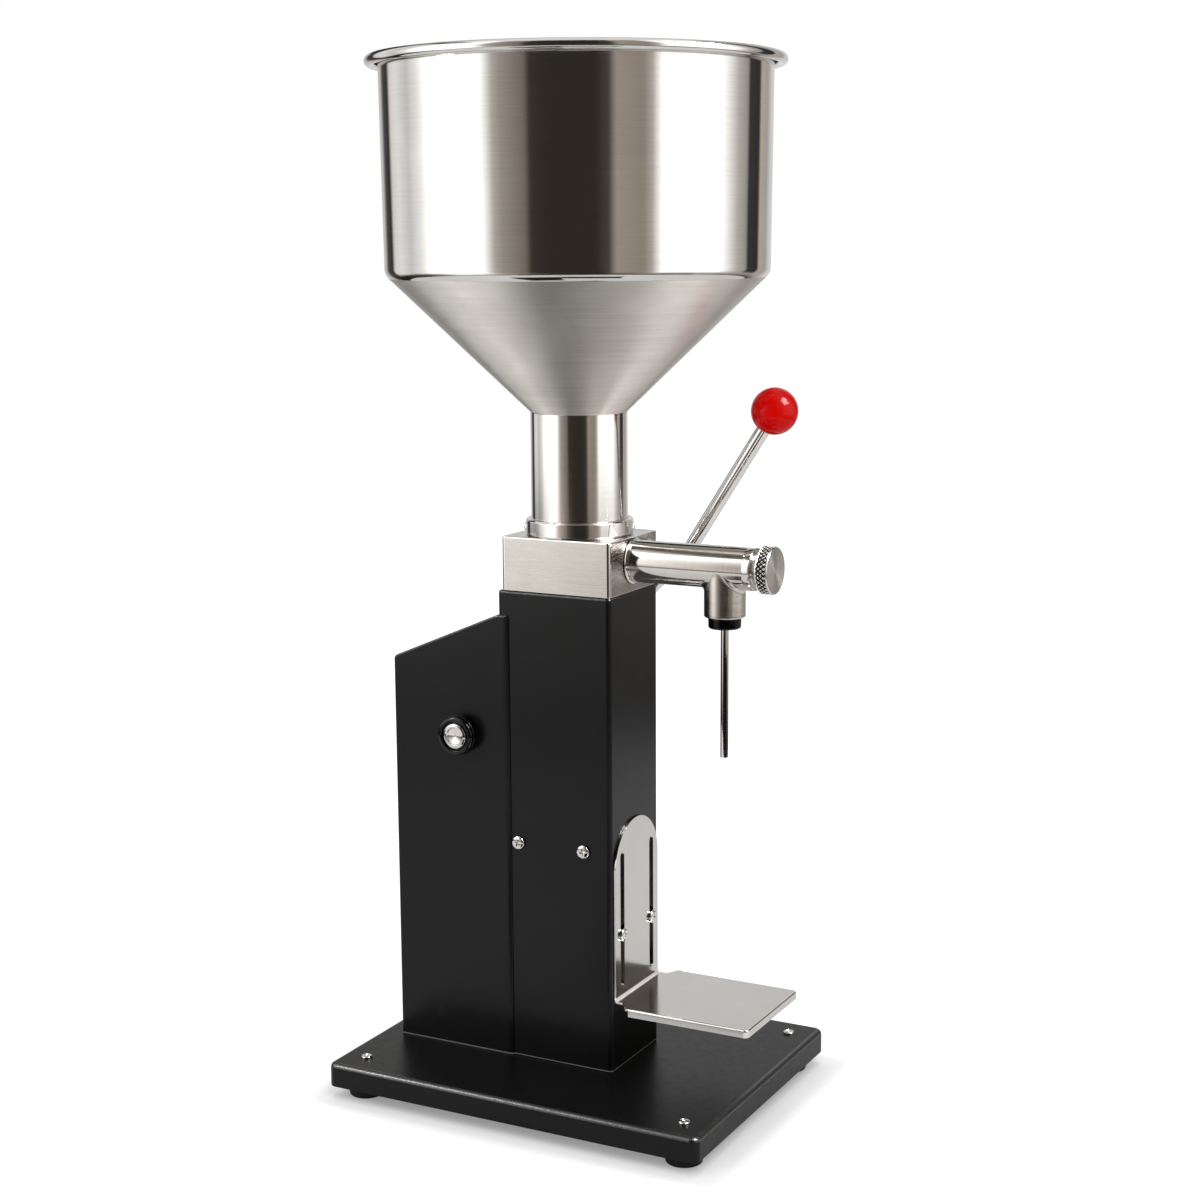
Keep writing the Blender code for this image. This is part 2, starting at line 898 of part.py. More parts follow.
def make_cover_screw(cover, number, place):
    bottom = base_top + seat_gap
    head_top = base_ceiling - seat_gap
    cut(
        cover,
        cylinder_mesh(
            f"cover_screw_hole_{number}",
            cover_screw_shank_radius + side_gap,
            place + Z_AXIS * (bottom - overrun),
            place + Z_AXIS * (bottom + cover_sheet + overrun),
            small_sides,
        ),
    )
    tip = bottom + cover_sheet + cover_screw_reach
    profile = [
        (0, tip),
        (cover_screw_shank_radius, tip),
        (cover_screw_shank_radius, head_top),
        (cover_screw_head_radius, head_top),
        (cover_screw_head_radius, head_top - cover_screw_head_height),
        (0, head_top - cover_screw_head_height),
    ]
    turned_object(
        f"cover_screw_{number}", profile, place, Z_AXIS, small_sides, POLISHED, assembly
    )


def make_guide_bracket():
    half_x = column_width / 2 - column_sheet - side_gap
    low = (-half_x, bracket_front, bracket_bottom)
    high = (half_x, bracket_rear, bracket_bottom + bracket_height)
    channel = add_object("guide_bracket", box_mesh("guide_bracket", low, high), BRIGHT_STEEL, assembly)
    inner_x = half_x - bracket_sheet
    cut(
        channel,
        box_mesh(
            "bracket_hollow",
            (-inner_x, bracket_front - overrun, bracket_bottom + bracket_sheet),
            (inner_x, bracket_rear + overrun, bracket_bottom + bracket_height + overrun),
        ),
    )
    boss_low = bracket_bottom - bracket_boss_drop
    join(
        channel,
        cylinder_mesh(
            "bracket_boss",
            bracket_boss_radius,
            (0, axis_y, boss_low),
            (0, axis_y, boss_low + bracket_boss_height),
            round_sides,
        ),
    )
    cut(
        channel,
        cylinder_mesh(
            "bracket_bore",
            rod_radius + rod_gap,
            (0, axis_y, boss_low - overrun),
            (0, axis_y, boss_low + bracket_boss_height + overrun),
            round_sides,
        ),
    )
    for number, y in enumerate((side_screw_front_y, side_screw_rear_y), 1):
        cut(
            channel,
            cylinder_mesh(
                f"bracket_screw_hole_{number}",
                side_screw_shank_radius + side_gap,
                (-half_x - overrun, y, side_screw_height),
                (half_x + overrun, y, side_screw_height),
                small_sides,
            ),
        )


def make_shaft_and_collars():
    start = shaft_left_end
    end = hub_start + hub_length + shaft_stub
    length = end - start
    profile = [
        (0, length),
        (shaft_radius - shaft_chamfer, length),
        (shaft_radius, length - shaft_chamfer),
        (shaft_radius, shaft_chamfer),
        (shaft_radius - shaft_chamfer, 0),
        (shaft_dimple_radius, 0),
        (0, shaft_dimple_depth),
    ]
    turned_object(
        "pivot_shaft",
        profile,
        (start, pivot_y, pivot_z),
        X_AXIS,
        round_sides,
        POLISHED,
        lever_carrier,
    )
    bore = shaft_radius + side_gap
    ring = [
        (bore, collar_length),
        (collar_radius - collar_chamfer, collar_length),
        (collar_radius, collar_length - collar_chamfer),
        (collar_radius, collar_chamfer),
        (collar_radius - collar_chamfer, 0),
        (bore, 0),
    ]
    for side, label in ((-1, "left"), (1, "right")):
        turned_object(
            f"shaft_collar_{label}",
            ring,
            (side * collar_start, pivot_y, pivot_z),
            X_AXIS * side,
            round_sides,
            BLACK_PLASTIC,
            lever_carrier,
        )


def lever_path():
    """The bent bar's centre line: out of the hub, round the bend, up to the ball."""
    hub = Vector((lever_plane_x, pivot_y, pivot_z))
    bend = Vector((lever_plane_x, lever_bend_y, lever_bend_z))
    ball = Vector((lever_plane_x, ball_y, ball_z))
    lower = (bend - hub).normalized()
    upper = (ball - bend).normalized()
    start = hub + lower * (hub_socket_floor + lever_socket_gap)
    end = ball - upper * (ball_radius - ball_socket_depth + lever_socket_gap)
    turn = lower.angle(upper)
    run = lever_bend_radius * math.tan(turn / 2)
    normal = (upper - lower * lower.dot(upper)).normalized()
    centre = bend - lower * run + normal * lever_bend_radius
    points = [start]
    for i in range(fine_steps + 1):
        angle = turn * i / fine_steps
        points.append(
            centre
            - normal * lever_bend_radius * math.cos(angle)
            + lower * lever_bend_radius * math.sin(angle)
        )
    points.append(end)
    return points, lower, upper, hub, ball


def make_lever():
    points, lower, upper, hub_centre, ball_centre = lever_path()
    wire_object("lever_rod", points, lever_radius, lever_sides_resolution, POLISHED, lever_carrier)
    hub_mesh = cylinder_mesh(
        "lever_hub",
        hub_radius,
        (hub_start, pivot_y, pivot_z),
        (hub_start + hub_length, pivot_y, pivot_z),
        round_sides,
    )
    hub = add_object("lever_hub", hub_mesh, BRIGHT_STEEL, lever_carrier)
    join(
        hub,
        cylinder_mesh(
            "hub_boss",
            hub_boss_radius,
            hub_centre + lower * shaft_radius,
            hub_centre + lower * hub_boss_reach,
            round_sides,
        ),
    )
    screw_seat = shaft_radius + 2 * side_gap
    screw_hole_radius = hub_screw_radius + side_gap
    cut(
        hub,
        cylinder_mesh(
            "hub_bore",
            shaft_radius + side_gap,
            (hub_start - overrun, pivot_y, pivot_z),
            (hub_start + hub_length + overrun, pivot_y, pivot_z),
            round_sides,
        ),
        cylinder_mesh(
            "hub_socket",
            lever_radius + lever_socket_gap,
            hub_centre + lower * hub_socket_floor,
            hub_centre + lower * (hub_boss_reach + overrun),
            small_sides,
        ),
        cylinder_mesh(
            "hub_screw_hole",
            screw_hole_radius,
            hub_centre - lower * shaft_radius,
            hub_centre - lower * (hub_radius + overrun),
            small_sides,
        ),
    )
    profile = [
        (0, screw_seat + hub_screw_length),
        (hub_screw_radius, screw_seat + hub_screw_length),
        (hub_screw_radius, screw_seat),
        (0, screw_seat),
    ]
    turned_object(
        "hub_screw", profile, hub_centre, -lower, small_sides, BRIGHT_STEEL, lever_carrier
    )
    bm = bmesh.new()
    bmesh.ops.create_uvsphere(bm, u_segments=ball_segments, v_segments=ball_rings, radius=ball_radius)
    turn = upper.to_track_quat("Z", "Y").to_matrix().to_4x4()
    bmesh.ops.transform(bm, matrix=Matrix.Translation(ball_centre) @ turn, verts=bm.verts)
    ball = add_object("ball_knob", mesh_from(bm, "ball_knob"), RED, lever_carrier)
    cut(
        ball,
        cylinder_mesh(
            "ball_socket",
            lever_radius + lever_socket_gap,
            ball_centre - upper * (ball_radius - ball_socket_depth),
            ball_centre - upper * (ball_radius + overrun),
            small_sides,
        ),
    )


def make_rocker_arm():
    """Two slotted plates and a stop tail on one hub, drawn at the lever's rest position."""
    reach = (pivot_y - axis_y) / math.cos(half_swing)
    nearest = pivot_y - axis_y
    toward_pin = Vector((-math.cos(half_swing), math.sin(half_swing)))
    tail_way = Vector((-math.sin(half_swing), -math.cos(half_swing)))
    pivot = Vector((pivot_y, pivot_z))
    plate_outer = crosshead_width / 2 + side_gap + arm_plate_thickness
    hub_mesh = cylinder_mesh(
        "rocker_arm",
        arm_hub_radius,
        (-plate_outer, pivot_y, pivot_z),
        (plate_outer, pivot_y, pivot_z),
        round_sides,
    )
    arm = add_object("rocker_arm", hub_mesh, BRIGHT_STEEL, lever_carrier)
    outline = capsule(pivot, pivot + toward_pin * reach, arm_half_height)
    slot = capsule(
        pivot + toward_pin * (nearest - arm_slot_run),
        pivot + toward_pin * (reach + arm_slot_run),
        pin_radius + arm_slot_gap,
    )
    for side, label in ((-1, "left"), (1, "right")):
        middle = side * (plate_outer - arm_plate_thickness / 2)
        frame = Matrix.Translation((middle, 0, 0)) @ SIDE_PLANE
        join(arm, flat_mesh(f"arm_plate_{label}", [outline, slot], arm_plate_thickness, frame))
    tail_outline = capsule(pivot, pivot + tail_way * tail_length, tail_half_width)
    join(arm, flat_mesh("arm_tail", [tail_outline], tail_thickness, SIDE_PLANE))
    cut(
        arm,
        cylinder_mesh(
            "arm_bore",
            shaft_radius + side_gap,
            (-plate_outer - overrun, pivot_y, pivot_z),
            (plate_outer + overrun, pivot_y, pivot_z),
            round_sides,
        ),
    )


def make_piston_group():
    half_x = crosshead_width / 2
    half_y = crosshead_depth / 2
    half_z = crosshead_height / 2
    crosshead = add_object(
        "crosshead",
        box_mesh(
            "crosshead",
            (-half_x, axis_y - half_y, pin_z - half_z),
            (half_x, axis_y + half_y, pin_z + half_z),
        ),
        BRIGHT_STEEL,
        piston_carrier,
    )
    piston_bottom = piston_top - piston_height
    rod_top = piston_bottom + piston_socket_depth - seat_gap
    rod_mesh = cylinder_mesh(
        "piston_rod", rod_radius, (0, axis_y, rod_low_end), (0, axis_y, rod_top), round_sides
    )
    rod = add_object("piston_rod", rod_mesh, POLISHED, piston_carrier)
    cut(
        crosshead,
        cylinder_mesh(
            "crosshead_bore",
            rod_radius + rod_gap,
            (0, axis_y, pin_z - half_z - overrun),
            (0, axis_y, pin_z + half_z + overrun),
            round_sides,
        ),
        cross_hole("crosshead_pin_hole", half_x),
    )
    cut(rod, cross_hole("rod_pin_hole", rod_radius))
    pin_half = half_x + side_gap + arm_plate_thickness + pin_overhang
    pin_mesh = cylinder_mesh(
        "cross_pin", pin_radius, (-pin_half, axis_y, pin_z), (pin_half, axis_y, pin_z), small_sides
    )
    add_object("cross_pin", pin_mesh, POLISHED, piston_carrier)
    make_piston(piston_bottom)


def cross_hole(name, half_length):
    reach = half_length + overrun
    return cylinder_mesh(
        name, pin_radius + side_gap, (-reach, axis_y, pin_z), (reach, axis_y, pin_z), small_sides
    )


def make_piston(piston_bottom):
    outer = bore_radius - piston_gap
    groove = outer - piston_groove_depth
    middle = piston_height / 2
    groove_low = middle - piston_groove_height / 2
    groove_high = middle + piston_groove_height / 2
    socket = rod_radius + rod_gap
    profile = [
        (0, piston_height),
        (outer, piston_height),
        (outer, groove_high),
        (groove, groove_high),
        (groove, groove_low),
        (outer, groove_low),
        (outer, 0),
        (socket, 0),
        (socket, piston_socket_depth),
        (0, piston_socket_depth),
    ]
    place = (0, axis_y, piston_bottom)
    turned_object("piston", profile, place, Z_AXIS, round_sides, POLISHED, piston_carrier)
    seal = [
        (groove + seat_gap, groove_high - seat_gap),
        (outer + seal_proud, groove_high - seat_gap),
        (outer + seal_proud, groove_low + seat_gap),
        (groove + seat_gap, groove_low + seat_gap),
    ]
    turned_object("piston_seal", seal, place, Z_AXIS, round_sides, WHITE_SEAL, piston_carrier)


def make_cylinder():
    outer = bore_radius + cylinder_wall
    flange_low = column_top + seat_gap
    flange_high = flange_low + cylinder_flange_thickness
    profile = [
        (bore_radius, flange_high),
        (cylinder_flange_radius, flange_high),
        (cylinder_flange_radius, flange_low),
        (outer, flange_low),
        (outer, cylinder_bottom),
        (bore_radius, cylinder_bottom),
    ]
    place = (0, axis_y, 0)
    turned_object("metering_cylinder", profile, place, Z_AXIS, round_sides, POLISHED, assembly)
    bore = rod_radius + rod_gap
    plug = bore_radius - side_gap
    flange_face = cylinder_bottom - seat_gap
    cap = [
        (bore, cylinder_bottom + cap_plug_height),
        (plug, cylinder_bottom + cap_plug_height),
        (plug, flange_face),
        (outer, flange_face),
        (outer, flange_face - cap_flange_thickness),
        (bore, flange_face - cap_flange_thickness),
    ]
    turned_object("cylinder_cap", cap, place, Z_AXIS, round_sides, BRONZE, assembly)


def make_block():
    half_x = block_width / 2
    mesh = box_mesh(
        "valve_block",
        (-half_x, block_front, block_bottom),
        (half_x, block_front + block_depth, block_top),
        block_corner_radius,
        block_edge_radius,
    )
    block = add_object("valve_block", mesh, BRUSHED, assembly)
    seat_floor = block_top - inlet_seat_thickness - seat_gap
    flange_recess = column_top + seat_gap + cylinder_flange_thickness + seat_gap
    cage_recess = flange_recess + cage_thickness + seat_gap
    steps = (
        ("block_seat_recess", inlet_seat_radius + side_gap, seat_floor, block_top + overrun),
        ("block_chamber", bore_radius, block_bottom - overrun, block_top + overrun),
        ("block_cage_recess", cage_radius + side_gap, block_bottom - overrun, cage_recess),
        ("block_flange_recess", cylinder_flange_radius + side_gap, block_bottom - overrun, flange_recess),
    )
    for name, radius, low, high in steps:
        cut(block, cylinder_mesh(name, radius, (0, axis_y, low), (0, axis_y, high), round_sides))
    cut(
        block,
        cylinder_mesh(
            "block_port",
            port_radius,
            (0, axis_y, outlet_axis_z),
            (0, block_front - overrun, outlet_axis_z),
            round_sides,
        ),
    )
    for number, side in enumerate((-1, 1), 1):
        place = Vector((side * block_screw_x, axis_y + side * block_screw_y, 0))
        cut(
            block,
            cylinder_mesh(
                f"block_thread_{number}",
                block_screw_shank_radius + side_gap,
                place + Z_AXIS * (block_bottom - overrun),
                place + Z_AXIS * (block_bottom + block_screw_depth + seat_gap),
                small_sides,
            ),
        )
    make_inlet_valve(seat_floor, flange_recess)


def make_inlet_valve(seat_floor, cage_bottom):
    low = seat_floor + seat_gap
    high = block_top - seat_gap
    profile = [
        (inlet_funnel_radius, high),
        (inlet_seat_radius, high),
        (inlet_seat_radius, low),
        (inlet_orifice_radius, low),
    ]
    place = (0, axis_y, 0)
    turned_object("inlet_seat", profile, place, Z_AXIS, round_sides, WHITE_SEAL, assembly)
    drop = math.sqrt(inlet_ball_radius**2 - inlet_orifice_radius**2)
    ball_z_rest = low - drop - seat_gap
    add_ball("inlet_ball", (0, axis_y, ball_z_rest), inlet_ball_radius, inlet_carrier)
    inner = cage_radius - cage_rim
    cage_top = cage_bottom + cage_thickness
    ring = [
        (inner, cage_top),
        (cage_radius, cage_top),
        (cage_radius, cage_bottom),
        (inner, cage_bottom),
    ]
    cage = turned_object("inlet_cage", ring, place, Z_AXIS, round_sides, POLISHED, assembly)
    bar_reach = inner + overlap
    join(
        cage,
        box_mesh(
            "cage_bar",
            (-bar_reach, axis_y - cage_bar_width / 2, cage_bottom),
            (bar_reach, axis_y + cage_bar_width / 2, cage_top),
        ),
        cylinder_mesh(
            "cage_disc", cage_disc_radius, (0, axis_y, cage_bottom), (0, axis_y, cage_top), small_sides
        ),
    )
    touch = math.sqrt(inlet_ball_radius**2 - inlet_spring_radius**2)
    spring_low = cage_top + seat_gap + inlet_spring_wire
    spring_high = ball_z_rest - touch - seat_gap - 2 * inlet_spring_wire
    start = Vector((0, axis_y, spring_low))
    make_spring(
        "inlet_spring",
        start,
        Z_AXIS * (spring_high - spring_low),
        inlet_spring_radius,
        inlet_spring_wire,
        inlet_spring_curls,
    )


def add_ball(name, place, radius, carrier):
    bm = bmesh.new()
    bmesh.ops.create_uvsphere(
        bm, u_segments=valve_ball_segments, v_segments=valve_ball_rings, radius=radius
    )
    ball = add_object(name, mesh_from(bm, name), POLISHED, carrier)
    ball.location = place
    return ball


curl_points = 8


def make_spring(name, start, along, radius, wire, curls):
    """A round coil spring, one unbroken wire, from its first curl's height to its last."""
    turn = along.to_track_quat("Z", "Y").to_matrix()
    count = curls * curl_points
    points = []
    for i in range(count + 1):
        angle = 4 * quarter_turn * i / curl_points
        across = turn @ Vector((radius * math.cos(angle), radius * math.sin(angle), 0))
        points.append(start + across + along * (i / count))
    wire_object(name, points, wire, 1, BRIGHT_STEEL, assembly)
    gap = min(
        (points[i] - points[j]).length - 2 * wire
        for i in range(count + 1)
        for j in range(i + curl_points // 2 + 1, count + 1)
    )
    print(f"{name}: least gap to itself {gap * 1000:.2f} mm")


def hopper_profile():
    """The hopper's section: down its outside from the rolled rim, back up its inside."""
    bead_x = rim_radius - rim_bead_radius
    bead_z = total_height - rim_bead_radius
    lip = rim_bead_radius - rim_web
    slope = math.atan2(knee_height - cone_foot_height, body_low_radius - neck_radius)
    turn = quarter_turn - slope
    run = knee_radius * math.tan(turn / 2)
    knee_x = body_low_radius - knee_radius
    outer_knee = arc(knee_x, knee_height + run, knee_radius, 0, -turn)
    inner_radius = knee_radius - hopper_sheet
    inner_knee = arc(knee_x, knee_height + run, inner_radius, -turn, 0)
    inner_neck = neck_radius - hopper_sheet
    rise = hopper_sheet / math.cos(slope) - hopper_sheet * math.tan(slope)
    inner_foot = cone_foot_height + rise
    neck_bottom = block_top + seat_gap + seal_thickness + seat_gap
    outside = [(body_top_radius - hopper_sheet, total_height)]
    outside += arc(bead_x, bead_z, rim_bead_radius, quarter_turn, -quarter_turn, 2 * fine_steps)
    outside += [(bead_x, bead_z - lip)]
    outside += [(body_top_radius, total_height - rim_bead_radius)]
    outside += outer_knee
    outside += [(neck_radius, cone_foot_height), (neck_radius, neck_bottom)]
    inside = [(inner_neck, neck_bottom), (inner_neck, inner_foot)]
    return outside + inside + inner_knee


def make_hopper():
    place = (0, axis_y, 0)
    turned_object("hopper", hopper_profile(), place, Z_AXIS, large_sides, BRUSHED, assembly)
    seal_low = block_top + seat_gap
    seal = [
        (neck_radius - seal_width, seal_low + seal_thickness),
        (neck_radius, seal_low + seal_thickness),
        (neck_radius, seal_low),
        (neck_radius - seal_width, seal_low),
    ]
    turned_object("hopper_seal", seal, place, Z_AXIS, round_sides, WHITE_SEAL, assembly)
    bore = neck_radius + side_gap
    low = block_top + seat_gap
    high = low + collar_ring_height
    ring = [
        (bore, high),
        (collar_ring_radius - collar_ring_chamfer, high),
        (collar_ring_radius, high - collar_ring_chamfer),
        (collar_ring_radius, low),
        (bore, low),
    ]
    collar = turned_object("hopper_collar", ring, place, Z_AXIS, large_sides, POLISHED, assembly)
    for label, angle in (("front", grub_angle), ("rear", grub_angle + 2 * quarter_turn)):
        way = Vector((math.cos(angle), math.sin(angle), 0))
        centre = Vector((0, axis_y, block_top + grub_height))
        cut(
            collar,
            cylinder_mesh(
                f"grub_hole_{label}",
                grub_radius + side_gap,
                centre + way * (neck_radius - overrun / 2),
                centre + way * (collar_ring_radius + overrun),
                small_sides,
            ),
        )
        inner = neck_radius + 2 * side_gap
        outer = collar_ring_radius + grub_proud
        profile = [(0, outer), (grub_radius, outer), (grub_radius, inner), (0, inner)]
        turned_object(
            f"grub_screw_{label}", profile, centre, way, small_sides, POLISHED, assembly
        )


def make_outlet():
    """The outlet tube with its downward branch, drawn along -Y from the block's front face."""
    tube_end_reach = tube_start - tube_end
    weld_radius = tube_radius + tube_weld_proud
    profile = [
        (0, tube_end_reach),
        (tube_radius, tube_end_reach),
        (tube_radius, tube_weld_length),
        (weld_radius, 0),
        (0, 0),
    ]
    place = (0, tube_start, outlet_axis_z)
    tube = turned_object("outlet_tube", profile, place, -Y_AXIS, round_sides, BRUSHED, assembly)
    join(
        tube,
        cylinder_mesh(
            "tube_branch",
            branch_radius,
            (0, branch_y, outlet_axis_z),
            (0, branch_y, branch_bottom),
            round_sides,
            facet_roll,
        ),
    )
    seat_y = tube_start - outlet_seat_thickness
    bore = tube_radius - tube_wall
    cut(
        tube,
        tube_bore("tube_bore", bore, seat_y, tube_end - overrun),
        tube_bore("tube_orifice", outlet_orifice_radius, tube_start + overrun, seat_y - overrun),
        branch_hole("branch_bore", branch_bore_radius, branch_bottom + branch_floor, outlet_axis_z),
        branch_hole(
            "branch_nut_hole", nut_hole_radius, branch_bottom - overrun, outlet_axis_z - overrun
        ),
    )
    drop = math.sqrt(outlet_ball_radius**2 - outlet_orifice_radius**2)
    ball_y_rest = seat_y - drop - seat_gap
    add_ball("outlet_ball", (0, ball_y_rest, outlet_axis_z), outlet_ball_radius, outlet_carrier)
    touch = math.sqrt(outlet_ball_radius**2 - outlet_spring_radius**2)
    plug_end = cap_start + cap_plug_length
    spring_start = ball_y_rest - touch - seat_gap - 2 * outlet_spring_wire
    spring_end = plug_end + seat_gap + outlet_spring_wire
    make_spring(
        "outlet_spring",
        Vector((0, spring_start, outlet_axis_z)),
        Y_AXIS * (spring_end - spring_start),
        outlet_spring_radius,
        outlet_spring_wire,
        outlet_spring_curls,
    )


def tube_bore(name, radius, start_y, end_y):
    low = (0, start_y, outlet_axis_z)
    high = (0, end_y, outlet_axis_z)
    return cylinder_mesh(name, radius, low, high, round_sides, facet_roll)


def branch_hole(name, radius, low, high):
    start = (0, branch_y, low)
    end = (0, branch_y, high)
    return cylinder_mesh(name, radius, start, end, round_sides, facet_roll)


def make_end_cap():
    """The knurled cap that closes the tube and backs its spring, drawn along -Y."""
    plug = tube_radius - tube_wall - side_gap
    profile = [
        (0, cap_length),
        (cap_radius - cap_chamfer, cap_length),
        (cap_radius, cap_length - cap_chamfer),
        (cap_radius, cap_nose_length),
        (tube_radius, 0),
        (plug, 0),
        (plug, -cap_plug_length),
        (0, -cap_plug_length),
    ]
    place = (0, cap_start, outlet_axis_z)
    turned_object("end_cap", profile, place, -Y_AXIS, round_sides, POLISHED, cap_carrier)


def make_nozzle():
    nut_top = branch_bottom - seat_gap
    nut_low = nut_top - nut_height
    bore = nozzle_radius + side_gap
    spigot = nut_hole_radius - side_gap
    spigot_top = nut_top + nut_spigot_height
    nut = [
        (bore, spigot_top),
        (spigot, spigot_top),
        (spigot, nut_top),
        (nut_radius - nut_chamfer, nut_top),
        (nut_radius, nut_top - nut_chamfer),
        (nut_radius, nut_low + nut_chamfer),
        (nut_radius - nut_chamfer, nut_low),
        (bore, nut_low),
    ]
    place = (0, branch_y, 0)
    turned_object("nozzle_nut", nut, place, Z_AXIS, round_sides, BLACK_PLASTIC, nut_carrier)
    inner = nozzle_radius - nozzle_wall
    head_low = spigot_top + seat_gap
    head_high = head_low + nozzle_head_height
    nozzle = [
        (inner, head_high),
        (nozzle_head_radius, head_high),
        (nozzle_head_radius, head_low),
        (nozzle_radius, head_low),
        (nozzle_radius, nozzle_tip_height),
        (inner, nozzle_tip_height),
    ]
    turned_object("nozzle", nozzle, place, Z_AXIS, small_sides, POLISHED, assembly)


def make_tray():
    plate_y = column_front - seat_gap - tray_sheet / 2
    plate_front = plate_y - tray_sheet / 2
    sheet_bottom = tray_top - tray_sheet
    deck = box_mesh(
        "product_tray",
        (-tray_half_width, tray_front, tray_top - tray_rim_height),
        (tray_half_width, tray_wide_rear, tray_top),
        tray_corner_radius,
    )
    tray = add_object("product_tray", deck, BRUSHED, tray_carrier)
    inner_x = tray_half_width - tray_sheet
    cut(
        tray,
        box_mesh(
            "tray_hollow",
            (-inner_x, tray_front + tray_sheet, tray_top - tray_rim_height - overrun),
            (inner_x, tray_wide_rear + overrun, sheet_bottom),
        ),
    )
    join(
        tray,
        box_mesh(
            "tray_neck",
            (-tray_neck_half_width, tray_wide_rear - overlap, sheet_bottom),
            (tray_neck_half_width, plate_front + tray_sheet, tray_top),
        ),
    )
    shoulder = plate_top - plate_half_width
    outline = [(plate_half_width, sheet_bottom)]
    outline += arc(0, shoulder, plate_half_width, 0, 2 * quarter_turn, 4 * fine_steps)
    outline += [(-plate_half_width, sheet_bottom)]
    holes = [
        capsule((x, slot_low + slot_half_width), (x, slot_high - slot_half_width), slot_half_width)
        for x in (-slot_x, slot_x)
    ]
    frame = Matrix.Translation((0, plate_y, 0)) @ FRONT_PLANE
    join(tray, flat_mesh("tray_plate", [outline] + holes, tray_sheet, frame))


def make_stroke_stop():
    stop_z = pivot_z - stop_drop
    way = (math.sin(half_swing), math.cos(half_swing))
    tail_rear = pivot_y + stop_drop * way[0] / way[1] + tail_half_width / way[1]
    tip = tail_rear + stop_tip_gap
    end = cover_rear + seat_gap + stop_nut_thickness + seat_gap
    head_length = end + stop_knob_length - tip
    profile = [
        (0, head_length),
        (stop_knob_radius - stop_knob_chamfer, head_length),
        (stop_knob_radius, head_length - stop_knob_chamfer),
        (stop_knob_radius, end - tip + stop_knob_chamfer),
        (stop_knob_radius - stop_knob_chamfer, end - tip),
        (stop_radius, end - tip),
        (stop_radius, 0),
        (0, 0),
    ]
    turned_object(
        "stroke_screw", profile, (0, tip, stop_z), Y_AXIS, round_sides, POLISHED, stop_carrier
    )
    nut_start = cover_rear + seat_gap
    nut_mesh = cylinder_mesh(
        "stroke_lock_nut",
        stop_nut_radius,
        (0, nut_start, stop_z),
        (0, nut_start + stop_nut_thickness, stop_z),
        hex_sides,
    )
    nut = add_object("stroke_lock_nut", nut_mesh, POLISHED, assembly)
    cut(
        nut,
        cylinder_mesh(
            "lock_nut_hole",
            stop_radius + side_gap,
            (0, nut_start - overrun, stop_z),
            (0, nut_start + stop_nut_thickness + overrun, stop_z),
            small_sides,
        ),
    )


clear_scene()
machine = new_collection("filling_machine")
cutters = new_collection("cutters")
assembly = bpy.data.objects.new("assembly", None)
machine.objects.link(assembly)
assembly.location = (0, -middle_y, 0)
lever_carrier = new_carrier("lever_axis", (0, pivot_y, pivot_z))
piston_carrier = new_carrier("piston_axis", (0, axis_y, pin_z))
inlet_carrier = new_carrier("inlet_axis", (0, axis_y, block_top))
outlet_carrier = new_carrier("outlet_axis", (0, tube_start, outlet_axis_z))
cap_carrier = new_carrier("cap_axis", (0, cap_start, outlet_axis_z))
nut_carrier = new_carrier("nozzle_axis", (0, branch_y, branch_bottom))
tray_carrier = new_carrier("tray_slide", (0, column_front, tray_top))
stop_carrier = new_carrier("stop_axis", (0, cover_rear, pivot_z - stop_drop))

make_base()
make_column()
make_cover()
make_guide_bracket()
make_shaft_and_collars()
make_lever()
make_rocker_arm()
make_piston_group()
make_cylinder()
make_block()
make_hopper()
make_outlet()
make_end_cap()
make_nozzle()
make_tray()
make_stroke_stop()
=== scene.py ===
"""The looks of a hand-lever filling machine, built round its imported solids.

Metres, +Z up, the nozzle side towards -Y. Each piece is drawn where its solid's box says. The steel
parts are turned from outlines, the black sheet parts are folded, and the studio round them is a plain
pale floor with soft walls that only the polished steel can see.
"""
import math

import bmesh
import bpy
from mathutils import Matrix, Vector


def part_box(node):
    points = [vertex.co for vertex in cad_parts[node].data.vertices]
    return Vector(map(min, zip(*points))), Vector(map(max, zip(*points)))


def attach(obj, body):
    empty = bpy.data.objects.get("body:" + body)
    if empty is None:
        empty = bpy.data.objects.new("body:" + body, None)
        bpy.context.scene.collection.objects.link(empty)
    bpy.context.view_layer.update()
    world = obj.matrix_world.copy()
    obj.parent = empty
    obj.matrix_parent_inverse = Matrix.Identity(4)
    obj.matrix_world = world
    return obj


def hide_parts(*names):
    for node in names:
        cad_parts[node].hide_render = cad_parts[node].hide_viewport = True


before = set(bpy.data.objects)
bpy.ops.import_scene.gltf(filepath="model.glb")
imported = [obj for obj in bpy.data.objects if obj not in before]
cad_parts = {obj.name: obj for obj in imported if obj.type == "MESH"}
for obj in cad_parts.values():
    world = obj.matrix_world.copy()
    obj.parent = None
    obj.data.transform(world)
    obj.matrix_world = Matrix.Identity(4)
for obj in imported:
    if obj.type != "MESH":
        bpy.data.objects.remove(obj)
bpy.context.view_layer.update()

X_AXIS = Vector((1, 0, 0))
Y_AXIS = Vector((0, 1, 0))
Z_AXIS = Vector((0, 0, 1))
QUARTER = math.pi / 2
FULL_TURN = 4 * QUARTER
TINY = 0.000001

